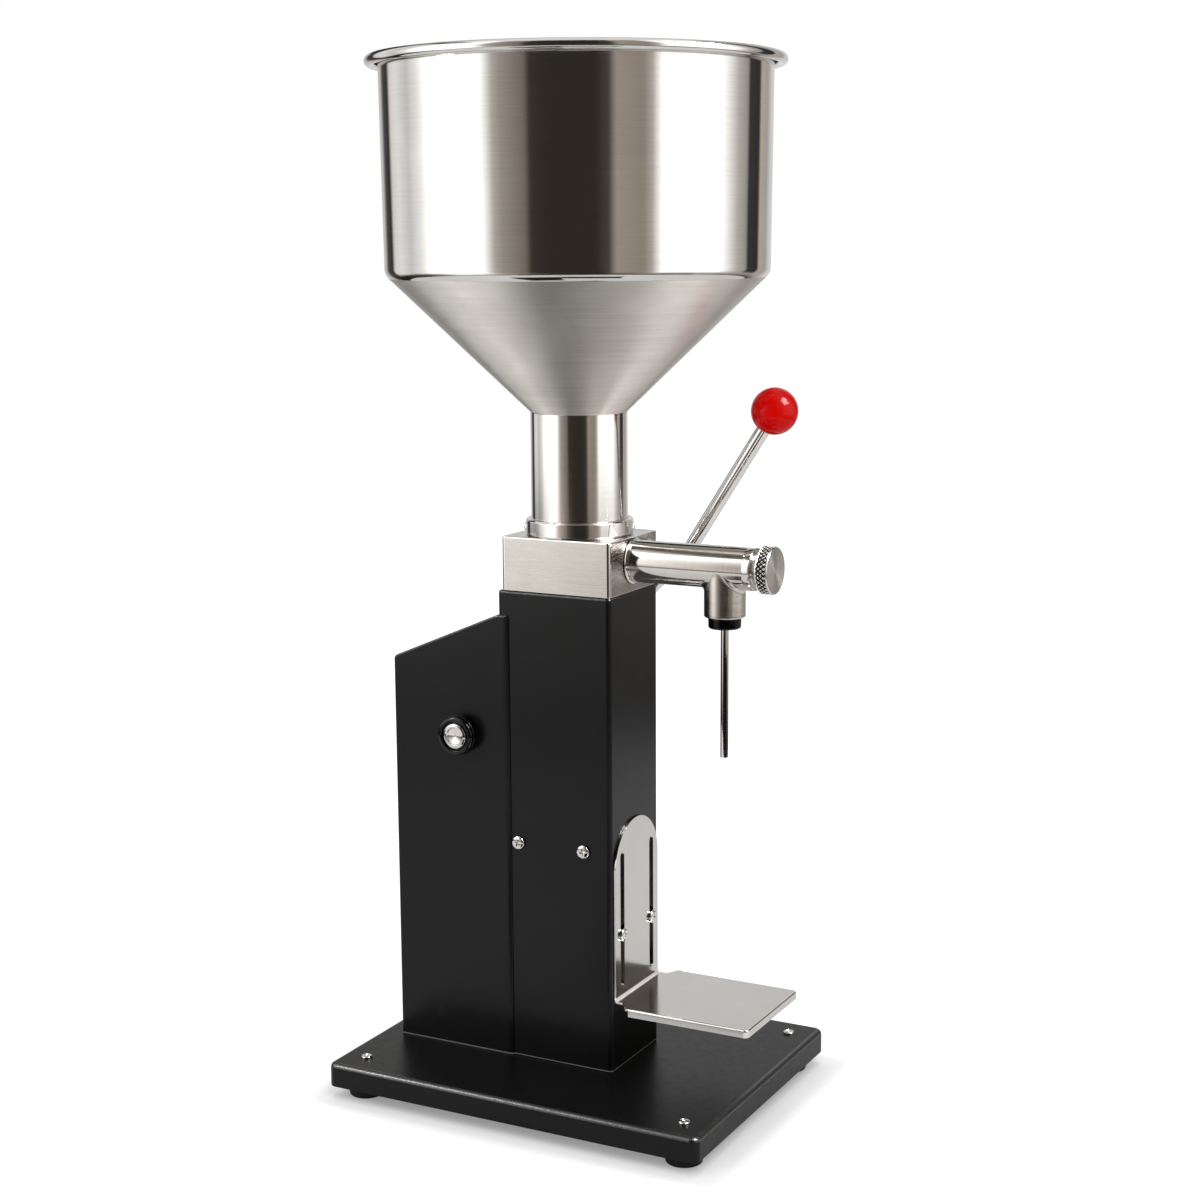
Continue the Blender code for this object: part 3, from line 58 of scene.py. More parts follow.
# Where the solids stand
base_low, base_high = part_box("base_plate")
column_low, column_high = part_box("column")
cover_low, cover_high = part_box("rear_cover")
block_low, block_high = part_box("valve_block")
hopper_low, hopper_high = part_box("hopper")
tube_low, tube_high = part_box("outlet_tube")
cap_low, cap_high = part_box("end_cap")
nut_low, nut_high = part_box("nozzle_nut")
tray_low, tray_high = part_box("product_tray")
shaft_low, shaft_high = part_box("pivot_shaft")
knob_low, knob_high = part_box("stroke_screw")
ball_low, ball_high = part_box("ball_knob")
axis_y = (hopper_low.y + hopper_high.y) / 2
pivot_y = (shaft_low.y + shaft_high.y) / 2
pivot_z = (shaft_low.z + shaft_high.z) / 2
outlet_z = (cap_low.z + cap_high.z) / 2
branch_y = (nut_low.y + nut_high.y) / 2
stop_z = (knob_low.z + knob_high.z) / 2
column_rear = column_low.y + 0.0969
cone_foot, cone_top = 0.5375, 0.641
tube_radius, branch_radius, ball_radius = 0.016, 0.0157, 0.018
hopper_axis = (0, axis_y, 0)


# ---------------------------------------------------------------- shaping


def set_all(thing, settings):
    for key, setting in settings.items():
        setattr(thing, key, setting)


def add_piece(name, data):
    piece = bpy.data.objects.new(name, data)
    bpy.context.scene.collection.objects.link(piece)
    return piece


def shade(mesh, crease=30):
    mesh.shade_smooth()
    mesh.set_sharp_from_angle(angle=math.radians(crease))


def piece_from(name, bm, crease=30):
    bmesh.ops.recalc_face_normals(bm, faces=bm.faces)
    mesh = bpy.data.meshes.new(name)
    bm.to_mesh(mesh)
    bm.free()
    shade(mesh, crease)
    return add_piece(name, mesh)


def worked_mesh(piece):
    """A new mesh of a piece as its modifiers or its curve make it."""
    bpy.context.view_layer.update()
    graph = bpy.context.evaluated_depsgraph_get()
    return bpy.data.meshes.new_from_object(piece.evaluated_get(graph))


def work(piece, kind, crease=30, **settings):
    """Works a modifier with its settings into a piece's mesh."""
    set_all(piece.modifiers.new(kind, kind), settings)
    mesh = worked_mesh(piece)
    piece.modifiers.clear()
    piece.data = mesh
    if crease:
        shade(mesh, crease)
    return piece


def cut(piece, *cutters, operation="DIFFERENCE"):
    """Takes the cutters' shapes out of a piece, and removes them."""
    for cutter in cutters:
        work(piece, "BOOLEAN", operation=operation, solver="EXACT", object=cutter)
        bpy.data.objects.remove(cutter)
    return piece


def merge(piece, *others):
    """Puts the other pieces' faces into the first one's mesh."""
    bm = bmesh.new()
    for part in (piece, *others):
        bm.from_mesh(part.data)
    bm.to_mesh(piece.data)
    bm.free()
    for part in others:
        bpy.data.objects.remove(part)


def soften(piece, width, steps=2, angle=40):
    """Rounds every sharp edge of a piece a little, so that it catches the light."""
    limit = {"limit_method": "ANGLE", "angle_limit": math.radians(angle)}
    work(piece, "BEVEL", width=width, segments=steps, **limit, harden_normals=False)


def thicken(piece, thickness):
    """Gives a sheet its thickness, away from its good side."""
    work(piece, "SOLIDIFY", thickness=thickness, offset=-1, use_even_offset=True)


def rounded(corners, steps=5, closed=False):
    """Points along straight runs between corners (x, y, radius), each corner drawn as an arc."""
    points = []
    count = len(corners)
    for i, (x, y, radius) in enumerate(corners):
        if radius == 0 or (not closed and i in (0, count - 1)):
            points.append((x, y))
            continue
        here = Vector((x, y))
        back = (Vector(corners[i - 1][:2]) - here).normalized()
        ahead = (Vector(corners[(i + 1) % count][:2]) - here).normalized()
        half = back.angle(ahead) / 2
        centre = here + (back + ahead).normalized() * (radius / math.sin(half))
        first = here + back * (radius / math.tan(half)) - centre
        turn = math.pi - 2 * half
        if back.x * ahead.y - back.y * ahead.x > 0:
            turn = -turn
        for k in range(steps + 1):
            angle = turn * k / steps
            cosine, sine = math.cos(angle), math.sin(angle)
            across = centre.x + first.x * cosine - first.y * sine
            points.append((across, centre.y + first.x * sine + first.y * cosine))
    return points


def arc(centre_x, centre_y, radius, start, end, steps=8):
    """Points along an arc, angles in degrees, both ends included."""
    angles = [math.radians(start + (end - start) * i / steps) for i in range(steps + 1)]
    return [(centre_x + radius * math.cos(a), centre_y + radius * math.sin(a)) for a in angles]


def circle(radius, height, sides):
    """Points round the Z axis."""
    angles = [FULL_TURN * i / sides for i in range(sides)]
    return [(radius * math.cos(a), radius * math.sin(a), height) for a in angles]


def fill_between(bm, rings, closed=False):
    """Fills the bands between rings of points. A ring is as long as the others or a single point."""
    sides = max(len(ring) for ring in rings)
    for one, other in zip(rings, rings[1:] + rings[:closed]):
        for i in range(sides):
            j = (i + 1) % sides
            near = one[i % len(one)], one[j % len(one)]
            face = list(dict.fromkeys((*near, other[j % len(other)], other[i % len(other)])))
            if len(face) > 2:
                bm.faces.new(face)


def turn_to(direction):
    """The turn that brings +Z round to a direction."""
    return Vector(direction).to_track_quat("Z", "Y").to_matrix().to_4x4()


def set_down(piece, place, direction, degrees=0):
    """Moves a piece that was drawn upright on the origin to its place, facing its direction."""
    turn = turn_to(direction) @ Matrix.Rotation(math.radians(degrees), 4, "Z")
    piece.data.transform(Matrix.Translation(place) @ turn)


def turned(name, outline, place=(0, 0, 0), direction=Z_AXIS, sides=96, ring=False, crease=30):
    """A turned piece: its outline (radius, height) goes round the direction from its place."""
    bm = bmesh.new()
    rings = []
    for radius, height in outline:
        points = [(0, 0, height)] if radius < TINY else circle(radius, height, sides)
        rings.append([bm.verts.new(point) for point in points])
    fill_between(bm, rings, ring)
    bmesh.ops.transform(bm, matrix=Matrix.Translation(place) @ turn_to(direction), verts=bm.verts)
    return piece_from(name, bm, crease)


def turned_ring(name, corners, place, direction=Z_AXIS, sides=96, steps=5, closed=False):
    """A turned ring, its outline drawn between corners (radius, height, rounding)."""
    return turned(name, rounded(corners, steps, closed), place, direction, sides, ring=True)


def block(name, low, high, upright=0.0, top=0.0, bottom=0.0, steps=5):
    """A box with rounded upright, top and bottom edges."""
    low, high = Vector(low), Vector(high)
    bm = bmesh.new()
    bmesh.ops.create_cube(bm, size=1)
    bmesh.ops.scale(bm, vec=high - low, verts=bm.verts)
    bmesh.ops.translate(bm, vec=(low + high) / 2, verts=bm.verts)

    def round_off(edges, radius):
        bmesh.ops.bevel(bm, geom=edges, offset=radius, segments=steps, profile=0.5, affect="EDGES")

    if upright:
        round_off([e for e in bm.edges if abs(e.verts[0].co.z - e.verts[1].co.z) > TINY], upright)
    for level, radius in ((high.z, top), (low.z, bottom)):
        if radius:
            round_off([e for e in bm.edges if all(abs(v.co.z - level) < TINY for v in e.verts)], radius)
    return piece_from(name, bm)


def rod(radius, start, end, sides=64):
    """A plain round cutter from one point to another."""
    start, end = Vector(start), Vector(end)
    length = (end - start).length
    outline = [(0, 0), (radius, 0), (radius, length), (0, length)]
    return turned("cutter", outline, start, end - start, sides)


def upright_rod(radius, low, high):
    """A round cutter along the hopper's axis."""
    return rod(radius, (0, axis_y, low), (0, axis_y, high))


def mesh_along(name, lines, closed, **settings):
    """The mesh that a curve with its settings makes along lines of points."""
    curve = bpy.data.curves.new(name, "CURVE")
    set_all(curve, settings)
    for line in lines:
        spline = curve.splines.new("POLY")
        spline.points.add(len(line) - 1)
        for point, place in zip(spline.points, line):
            point.co = (*place, 1)
        spline.use_cyclic_u = closed
    guide = add_piece(name, curve)
    mesh = worked_mesh(guide)
    bpy.data.objects.remove(guide)
    return mesh


def side_plate(name, outlines, x, thickness, edge=0.0):
    """A flat plate across X with rounded edges. Its outlines are in (y, z), the later ones holes."""
    lines = [[(*point, 0) for point in outline] for outline in outlines]
    shape = {"dimensions": "2D", "fill_mode": "BOTH", "extrude": thickness / 2 - edge, "offset": -edge}
    mesh = mesh_along(name, lines, True, **shape, bevel_depth=edge, bevel_resolution=2)
    bm = bmesh.new()
    bm.from_mesh(mesh)
    bmesh.ops.remove_doubles(bm, verts=bm.verts, dist=0.00002)
    bpy.data.meshes.remove(mesh)
    turn = Matrix(((0, 0, 1), (1, 0, 0), (0, 1, 0))).to_4x4()
    bmesh.ops.transform(bm, matrix=Matrix.Translation((x, 0, 0)) @ turn, verts=bm.verts)
    return piece_from(name, bm)


def bar(name, points, radius, sides):
    """A round bar along points, closed at both ends."""
    shape = {"dimensions": "3D", "bevel_depth": radius, "bevel_resolution": sides // 4}
    mesh = mesh_along(name, [points], False, **shape, use_fill_caps=True)
    shade(mesh)
    return add_piece(name, mesh)


def slice_across(bm, levels):
    """Cuts the faces along planes across Y, so that they can be bent there."""
    for level in levels:
        everything, place = bm.verts[:] + bm.edges[:] + bm.faces[:], (0, level, 0)
        bmesh.ops.bisect_plane(bm, geom=everything, plane_co=place, plane_no=Y_AXIS, dist=0.00001)


def knurl(piece, radius, low, high, teeth, groove):
    """Cuts a knurl into a turned piece. groove gives its depth from how many teeth round and how high
    a point is."""
    for vertex in piece.data.vertices:
        place = vertex.co
        if low - TINY <= place.z <= high + TINY and math.hypot(place.x, place.y) > radius - 0.0001:
            sink = 1 - groove(math.atan2(place.y, place.x) * teeth / FULL_TURN, place.z) / radius
            place.x *= sink
            place.y *= sink


def fit(piece, body, slot, finish, *nodes):
    """Gives a piece its finish and the body that it moves with, and hides the solids it stands for. slot
    is not used.
    """
    # Flat faces stay flat to the eye right up to their rounded edges
    work(piece, "WEIGHTED_NORMAL", None, mode="FACE_AREA", keep_sharp=True)
    piece.data.materials.clear()
    piece.data.materials.append(finish)
    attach(piece, body)
    if nodes:
        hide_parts(*nodes)
    return piece


def refinish(piece, finish, picked):
    """Gives the faces that picked says yes to a finish of their own."""
    piece.data.materials.append(finish)
    index = len(piece.data.materials) - 1
    for face in piece.data.polygons:
        if picked(face):
            face.material_index = index


def rub_edges(piece, finish, lowest=-1.0):
    """Gives the rounded edges of a flat-sided piece a finish of their own, where they face up enough."""
    straight, widest_edge = 0.998, 0.001

    def is_edge(face):
        leans = max(abs(part) for part in face.normal) < straight
        return leans and face.normal.z > lowest and face.area < widest_edge

    refinish(piece, finish, is_edge)


def dress(finish, *nodes):
    """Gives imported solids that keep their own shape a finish."""
    for name in nodes:
        for material_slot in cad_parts[name].material_slots:
            material_slot.material = finish


# ---------------------------------------------------------------- nodes


def linear(colour):
    """An sRGB hex colour as linear light."""
    parts = [int(colour[i : i + 2], 16) / 255 for i in (1, 3, 5)]
    return (*[p / 12.92 if p <= 0.04045 else ((p + 0.055) / 1.055) ** 2.4 for p in parts], 1)


def per_mm(size):
    """How often a pattern of that size in millimetres repeats in a metre."""
    return 1000 / size


def new_finish(name):
    finish = bpy.data.materials.new(name)
    finish.use_nodes = True
    return finish, finish.node_tree


def join(tree, made, inputs):
    """Joins each of a node's inputs to another node's output, or sets it to a plain value."""
    for socket, source in inputs.items():
        if isinstance(source, bpy.types.NodeSocket):
            tree.links.new(source, made.inputs[socket])
        else:
            made.inputs[socket].default_value = source


def add_node(tree, kind, inputs=None, out=0, **settings):
    """Adds a node with its settings and inputs. It gives one of the node's outputs, or the node itself
    where out is None."""
    made = tree.nodes.new(kind)
    set_all(made, settings)
    join(tree, made, inputs or {})
    return made if out is None else made.outputs[out]


def maths(tree, operation, *terms, kind="ShaderNodeMath", out=0, **settings):
    """A sum over other nodes' outputs and plain numbers."""
    return add_node(tree, kind, dict(enumerate(terms)), out, operation=operation, **settings)


def vector_maths(tree, operation, *terms, out=0):
    return maths(tree, operation, *terms, kind="ShaderNodeVectorMath", out=out)


def on_piece(tree):
    """A point's place on the piece itself."""
    return add_node(tree, "ShaderNodeTexCoord", out="Object")


def ray_kinds(tree):
    """What kind of ray sees a point: the camera's own, a shiny surface's or a matt one's."""
    return add_node(tree, "ShaderNodeLightPath", out=None).outputs


def pattern(tree, size, detail=2, rough=0.5, stretch=(1, 1, 1)):
    """Noise of a real size in millimetres on the piece itself, drawn out by stretch."""
    scale = [per_mm(size) / s for s in stretch]
    scaled = add_node(tree, "ShaderNodeMapping", {"Vector": on_piece(tree), "Scale": scale})
    inputs = {"Vector": scaled, "Scale": 1.0, "Detail": detail, "Roughness": rough}
    return add_node(tree, "ShaderNodeTexNoise", inputs, "Fac")


def from_tube_axis(tree):
    """How far a point is from the outlet tube's axis."""
    moved = vector_maths(tree, "SUBTRACT", on_piece(tree), (0, 0, outlet_z))
    return vector_maths(tree, "LENGTH", vector_maths(tree, "MULTIPLY", moved, (1, 0, 1)), out="Value")


def spread(tree, source, low, high, start=0.35, end=0.65):
    """The part of a pattern between start and end, drawn out to run from low to high."""
    inputs = {"Value": source, "From Min": start, "From Max": end, "To Min": low, "To Max": high}
    return add_node(tree, "ShaderNodeMapRange", inputs)


def two_colours(tree, source, first, second):
    """One colour where a pattern is 0, the other where it is 1."""
    inputs = {0: source, 6: linear(first), 7: linear(second)}
    return add_node(tree, "ShaderNodeMix", inputs, 2, data_type="RGBA")


def over(tree, mask, under, colour):
    """A colour laid over another where the mask is 1."""
    return add_node(tree, "ShaderNodeMix", {0: mask, 6: under, 7: linear(colour)}, 2, data_type="RGBA")


def blend(tree, share, first, second):
    """One number where the share is 0, the other where it is 1."""
    return add_node(tree, "ShaderNodeMix", {0: share, 2: first, 3: second}, data_type="FLOAT")


def worn_edge(tree):
    """1 along outer edges, broken up by a pattern, and 0 elsewhere."""
    edge = add_node(tree, "ShaderNodeNewGeometry", out="Pointiness")
    broken = spread(tree, pattern(tree, 1.5, 4), 0.25, 1, 0.4, 0.6)
    return maths(tree, "MULTIPLY", spread(tree, edge, 0, 1, 0.52, 0.58), broken)


def lathe_shine(tree, axis, pull):
    """Shader values that draw the highlights out across the marks that a lathe leaves round an axis."""
    around = add_node(tree, "ShaderNodeTangent", direction_type="RADIAL", axis=axis)
    return {"Tangent": around, "Anisotropic": pull, "Anisotropic Rotation": 0.25}


def surface(tree, base, rough, height, bump, others):
    """Joins a finish's colour, roughness and bumps to its shader. bump is their height and strength."""
    inputs = {"Height": height, "Distance": bump[0], "Strength": bump[1]}
    raised = add_node(tree, "ShaderNodeBump", inputs)
    look = {"Base Color": base, "Roughness": rough, "Normal": raised, **others}
    join(tree, tree.nodes["Principled BSDF"], look)


# ---------------------------------------------------------------- finishes


def moulded(
    name, grain, tones, gloss_grain, gloss, bump_grain, bump, others, ends=(0.35, 0.65), foot=None
):
    """A coat, a plastic or rubber.

    A grain is a pattern's size in millimetres, its detail and its roughness. The first one carries the
    two tones between its ends, and serves again where another is None. gloss is the roughness at both
    ends of its grain, and bump the height and strength of the bumps. Just above foot a pale grey line
    runs along the coat.
    """
    finish, tree = new_finish(name)
    tone = spread(tree, pattern(tree, *grain), 0, 1, *ends)
    base = two_colours(tree, tone, *tones)
    if foot:
        height = add_node(tree, "ShaderNodeSeparateXYZ", {0: on_piece(tree)}, 2)
        # A pale grey line 0.8 to 1.1 mm above the foot
        base = over(tree, spread(tree, height, 1, 0, foot + 0.0008, foot + 0.0011), base, "#7d7974")
    if gloss_grain:
        rough = spread(tree, pattern(tree, *gloss_grain), *gloss)
    else:
        rough = spread(tree, tone, *gloss, 0, 1)
    surface(tree, base, rough, pattern(tree, *bump_grain) if bump_grain else tone, bump, others)
    return finish


# Black polyester powder coat, baked on folded steel: an even satin with a faint orange peel, with a pale
# grey line drawn along the edge that stands on the base. Orange peel is about 0.8 mm across; it is drawn
# at 1.3 mm so that the render can show it.
COAT = moulded(
    "satin_powder_coat", (70, 3), ("#09090a", "#0c0c0d"), (25, 2), (0.245, 0.26),
    (1.3, 1), (0.00004, 0.2), {"Specular IOR Level": 0.25}, foot=column_low.z,
)
# The same coat over folds and rounded edges: thinner and polished by hands, with grey patches that are
# partly wear and partly a painted highlight along the up-facing edges
WORN_COAT_AND_PAINTED_HIGHLIGHT = moulded(
    "rubbed_powder_coat_and_painted_highlight", (3, 5, 0.7), ("#0e0e0f", "#454341"), None, (0.17, 0.26),
    (1.3, 2), (0.00004, 0.35), {"Specular IOR Level": 0.75}, (0.5, 0.64),
)
# Black wrinkle powder coat on the base pan: a leathery grain that breaks up every reflection. The
# wrinkles are about 0.7 mm apart; they are drawn at 1.4 mm so that the render can show them.
WRINKLE = moulded(
    "wrinkle_powder_coat", (45, 3), ("#080809", "#0b0b0c"), (6, 4), (0.30, 0.36),
    (1.4, 3, 0.6), (0.00014, 0.6), {"Specular IOR Level": 0.22},
)
# The wrinkle coat along the pan's rounded edges: its peaks are rubbed shiny and catch the light
RUBBED_WRINKLE = moulded(
    "rubbed_wrinkle_coat", (1.6, 3, 0.6), ("#09090a", "#161617"), None, (0.22, 0.14),
    None, (0.00010, 0.5), {"Specular IOR Level": 1.0}, (0.4, 0.6),
)
# Black moulded rubber of the feet: dull, with a dusty bloom in patches
RUBBER = moulded(
    "moulded_rubber", (5, 5), ("#101010", "#1c1b1a"), (3, 4), (0.62, 0.8), (0.9, 3), (0.00005, 0.5),
    {"Specular IOR Level": 0.35}, (0.45, 0.75),
)
# Black moulded nylon of the shaft collars and the nozzle nut: smooth and shiny, with faint flow marks
NYLON = moulded(
    "glossy_black_nylon", (8, 3), ("#040404", "#070707"), (4, 2), (0.07, 0.11), (6, 1), (0.00001, 0.2),
    {"IOR": 1.38},
)
# Red phenolic ball, moulded and tumbled to a wet gloss, with a slightly deeper red in places
RED = moulded(
    "red_phenolic", (9, 2), ("#d00402", "#d80502"), (9, 1), (0.15, 0.17), (9, 1), (0.000004, 0.1),
    {"IOR": 1.22},
)
# White fluoroplastic of the seals and inlet seat: waxy, with the faint rings of the lathe
SEAL_WHITE = moulded(
    "sealing_plastic", (0.8, 2, 0.5, (20, 20, 1)), ("#dedcd4", "#eae8e2"), (3,), (0.35, 0.48), None,
    (0.00001, 0.3), {"Subsurface Weight": 0.1, "Subsurface Radius": (0.003, 0.003, 0.003)},
)


def metal(name, grain, stretch, tones, gloss, depth, turned_about=None, pull=0.0, edge=None):
    """Steel or bronze, its grain in millimetres and drawn out by stretch along the polishing marks.

    tones are its darker and lighter colour, gloss its lowest and highest roughness and depth the height
    of the marks. A piece polished on a lathe also draws its highlights out across the marks by pull.
    edge is the colour of its worn outer edges, which are rubbed nearly to a mirror.
    """
    finish, tree = new_finish(name)
    marks = pattern(tree, grain, 4, 0.65, stretch)
    clouds = pattern(tree, 40)
    base = two_colours(tree, spread(tree, blend(tree, clouds, marks, clouds), 0, 1), *tones)
    rough = spread(tree, marks, *gloss)
    if edge:
        bright = worn_edge(tree)
        base = over(tree, bright, base, edge)
        rough = blend(tree, bright, rough, 0.06)
    shine = lathe_shine(tree, turned_about, pull) if turned_about else {}
    surface(tree, base, rough, marks, (depth, 0.5), {"Metallic": 1.0, **shine})
    return finish


# The hopper's stainless sheet, spun and then polished round and round: bright bands run down it, crossed
# by fine level marks. They are about 0.1 mm apart; they are drawn at 0.8 mm so that the render can show
# them.
SPUN = metal("spun_steel", 0.8, (60, 60, 1), ("#cfccc8", "#dad8d4"), (0.07, 0.12), 0.0000015, "Z", 0.92)
# The hopper's cone, left as the spinning roller made it: duller and greyer, with wider level marks
SPUN_CONE = metal(
    "spun_cone_steel", 1.3, (80, 80, 1), ("#c9c5be", "#dcd8d2"), (0.42, 0.50), 0.000003, "Z", 0.84
)
# The valve block's stainless steel, brushed level: long fine scratches and a soft sheen
BLOCK_STEEL = metal(
    "brushed_block_steel", 0.7, (60, 60, 1), ("#b4b0ab", "#c4c0bb"), (0.20, 0.30), 0.000006, "Z", 0.75
)
# The outlet tube's stainless steel, polished in a lathe: marks round it, streaks along it
TUBE_STEEL = metal(
    "turned_tube_steel", 0.7, (30, 1, 30), ("#cdc9c4", "#d8d4cf"), (0.06, 0.10), 0.000001, "Y", 0.5
)
# The outlet branch, polished the same way about its own upright axis
BRANCH_STEEL = metal(
    "turned_branch_steel", 0.7, (30, 30, 1), ("#c9c4be", "#d4cfc9"), (0.15, 0.22), 0.000003, "Z", 0.6
)
# Stainless steel along rounded edges and bends, rubbed nearly to a mirror by hands and cloths
BURNISHED = metal("burnished_edge_steel", 2.0, (4, 4, 1), ("#dedbd7", "#eae8e4"), (0.05, 0.10), 0.000001)
# The tray's steel along its bend, where the press tool has left it matt and bright
PRESSED = metal("pressed_bend_steel", 0.8, (1, 20, 20), ("#d6d3cf", "#e2dfdc"), (0.38, 0.48), 0.000004)
# The tray's stainless sheet with a smooth cold-rolled finish: nearly a mirror, faintly streaked
TRAY_STEEL = metal("satin_tray_steel", 0.9, (1, 50, 50), ("#ccc9c5", "#d4d1cd"), (0.13, 0.18), 0.000002)
# Polished stainless of the screws, lever, shaft and collar: a clean mirror with faint hairlines
POLISHED = metal("polished_steel", 1.5, (6, 6, 1), ("#d8d5d1", "#e2dfdc"), (0.03, 0.06), 0.000001)
# Plain machined steel of the inner parts: grey, with cutter marks
MACHINED = metal(
    "machined_steel", 0.5, (1, 12, 12), ("#8f8c88", "#a5a29e"), (0.28, 0.42), 0.000010, edge="#bab7b3"
)
# Cast and turned bearing bronze of the bushes and cylinder cap: warm, with oil-darkened patches
BRONZE = metal(
    "bearing_bronze", 0.6, (8, 8, 1), ("#8d6233", "#b58548"), (0.26, 0.4), 0.000008, edge="#cda267"
)


def faced_cap_steel():
    """The end cap's stainless steel, faced in a lathe: fine rings round its middle spread the light in
    wedges."""
    finish, tree = new_finish("faced_cap_steel")
    # The tool marks are about 0.15 mm apart; they are drawn at 0.5 mm so that the render can show them
    inputs = {"W": from_tube_axis(tree), "Scale": per_mm(0.5), "Detail": 3.0}
    marks = add_node(tree, "ShaderNodeTexNoise", inputs, "Fac", noise_dimensions="1D")
    base = two_colours(tree, spread(tree, marks, 0, 1), "#dbd9d6", "#e1dfdc")
    shine = {"Metallic": 1.0, **lathe_shine(tree, "Y", 0.9)}
    surface(tree, base, spread(tree, marks, 0.19, 0.22), marks, (0.0000008, 0.5), shine)
    return finish


def knurled_cap_steel():
    """The cap's knurled band: bright points over grooves painted near black, a painted shade in the
    hollows.
    """
    finish, tree = new_finish("knurled_cap_steel")
    cap_radius = (cap_high.x - cap_low.x) / 2
    # Painted shade: the grooves below the points are turned near black
    groove_painted_shade = spread(tree, from_tube_axis(tree), 1, 0, cap_radius - 0.00085, cap_radius - 0.0006)
    bright_knurl_steel = two_colours(tree, spread(tree, pattern(tree, 3), 0, 1), "#dedbd6", "#f0eeea")
    base, rough = over(tree, groove_painted_shade, bright_knurl_steel, "#0b0a09"), spread(tree, groove_painted_shade, 0.14, 0.5, 0, 1)
    surface(tree, base, rough, pattern(tree, 0.8), (0.00001, 0.3), {"Metallic": 1.0})
    return finish


CAP_STEEL = faced_cap_steel()
KNURLED_STEEL = knurled_cap_steel()


# ---------------------------------------------------------------- base, feet and screws


def make_base_pan():
    """A pan pressed from 3 mm plate, open beneath."""
    pan = block("base_pan", base_low, base_high, upright=0.007, top=0.004, steps=8)
    bm = bmesh.new()
    bm.from_mesh(pan.data)
    bmesh.ops.delete(bm, geom=[f for f in bm.faces if f.normal.z < -0.9], context="FACES")
    bm.to_mesh(pan.data)
    bm.free()
    thicken(pan, 0.003)
    soften(pan, 0.0004)
    fit(pan, "frame", "powder_black", WRINKLE, "base_plate")
    rub_edges(pan, RUBBED_WRINKLE, 0.1)


def cross_cutter(w, r, depth, top):
    """The tapered cross that a driver leaves in a screw head: half its width, its reach, its depth, and
    the height of its mouth."""
    corners = [(r, -w), (r, w), (w, w), (w, r), (-w, r), (-w, w), (-r, w), (-r, -w), (-w, -w), (-w, -r)]
    corners += [(w, -r), (w, -w)]
    bm = bmesh.new()
    mouth, rim, tip = (
        [bm.verts.new((x * size, y * size, z)) for x, y in corners]
        for size, z in ((1, top + depth), (1, top), (0.45, top - depth))
    )
    bm.faces.new(mouth)
    bm.faces.new(tip)
    fill_between(bm, [mouth, rim, tip])
    return piece_from("cross_cutter", bm)


def make_screw(node, direction, head, head_height, shank, turn):
    """A pan-head screw with a cross recess, where its solid is and turned by some degrees. head and
    shank are radii."""
    low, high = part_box(node)
    length = abs((high - low).dot(direction))
    outer = (low + high) / 2 + direction * (length / 2 - head_height)
    end = head_height - length
    outline = [(0, head_height)]
    outline += [(head * x**0.8, head_height * y**0.45) for x, y in arc(0, 0, 1, 86, 0, 10)]
    outline += [(head - 0.0002, -0.0001), (shank, -0.0001), (shank, 0.0006 + end)]
    outline += [(shank - 0.0006, end), (0, end)]
    screw = turned(node + "_visible", outline, sides=48)
    cut(screw, cross_cutter(head * 0.13, head * 0.52, head_height * 0.6, head_height))
    set_down(screw, outer, direction, turn)
    fit(screw, "frame", "steel_polished", POLISHED, node)


def make_foot(number):
    node = f"rubber_foot_{number}"
    low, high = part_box(node)
    middle = (low + high) / 2
    radius = (high.x - low.x) / 2
    top = high.z - 0.0001
    outline = rounded([
        (0, 0.0008, 0), (0.0065, 0.0008, 0.0003), (0.0075, 0, 0.0003), (radius - 0.0008, 0, 0.0012),
        (radius, 0.0058, 0.0004), (radius - 0.0006, 0.012, 0.0012), (0.010, 0.0124, 0.0006),
        (0.010, top, 0), (0, top, 0),
    ])
    foot = turned(node + "_visible", outline, (middle.x, middle.y, 0), sides=64)
    fit(foot, "frame", "rubber_black", RUBBER, node)


# ---------------------------------------------------------------- column and cover


def make_column():
    """The column's tube with its end plates, window, cheeks and the hole for the cylinder."""
    sheet, plate = 0.002, 0.004
    cylinder_hole, bush_hole, window_half, window_reach = 0.0233, 0.0138, 0.018, 0.024
    half = column_high.x
    front, rear = column_low.y, column_rear
    low, high = column_low.z, column_high.z
    column = block("column_tube", (-half, front, low), (half, rear, high), 0.0036, 0.0018, 0.0004, 6)
    inner = (sheet - half, front + sheet, low + plate), (half - sheet, rear - sheet, high - plate)
    window_low = (-window_half, rear - 0.006, pivot_z - window_reach)
    window = window_low, (window_half, rear + 0.004, pivot_z + window_reach)
    bore = upright_rod(cylinder_hole, high - 2 * plate, high + plate)
    cut(column, block("hollow", *inner), block("window", *window), bore)
    cheek = column_high.y - pivot_y
    for side in (-1, 1):
        outline = [(rear - 0.001, pivot_z - cheek)] + arc(pivot_y, pivot_z, cheek, -90, 90, 24)
        outline.append((rear - 0.001, pivot_z + cheek))
        hole = arc(pivot_y, pivot_z, bush_hole, 0, 350, 35)
        merge(column, side_plate("cheek", [outline, hole], side * (half - 0.0045), 0.006, 0.0003))
    fit(column, "frame", "powder_black", COAT, "column")
    # Up-facing edges get grey patches: partly wear, partly painted highlight
    rub_edges(column, WORN_COAT_AND_PAINTED_HIGHLIGHT, 0.1)


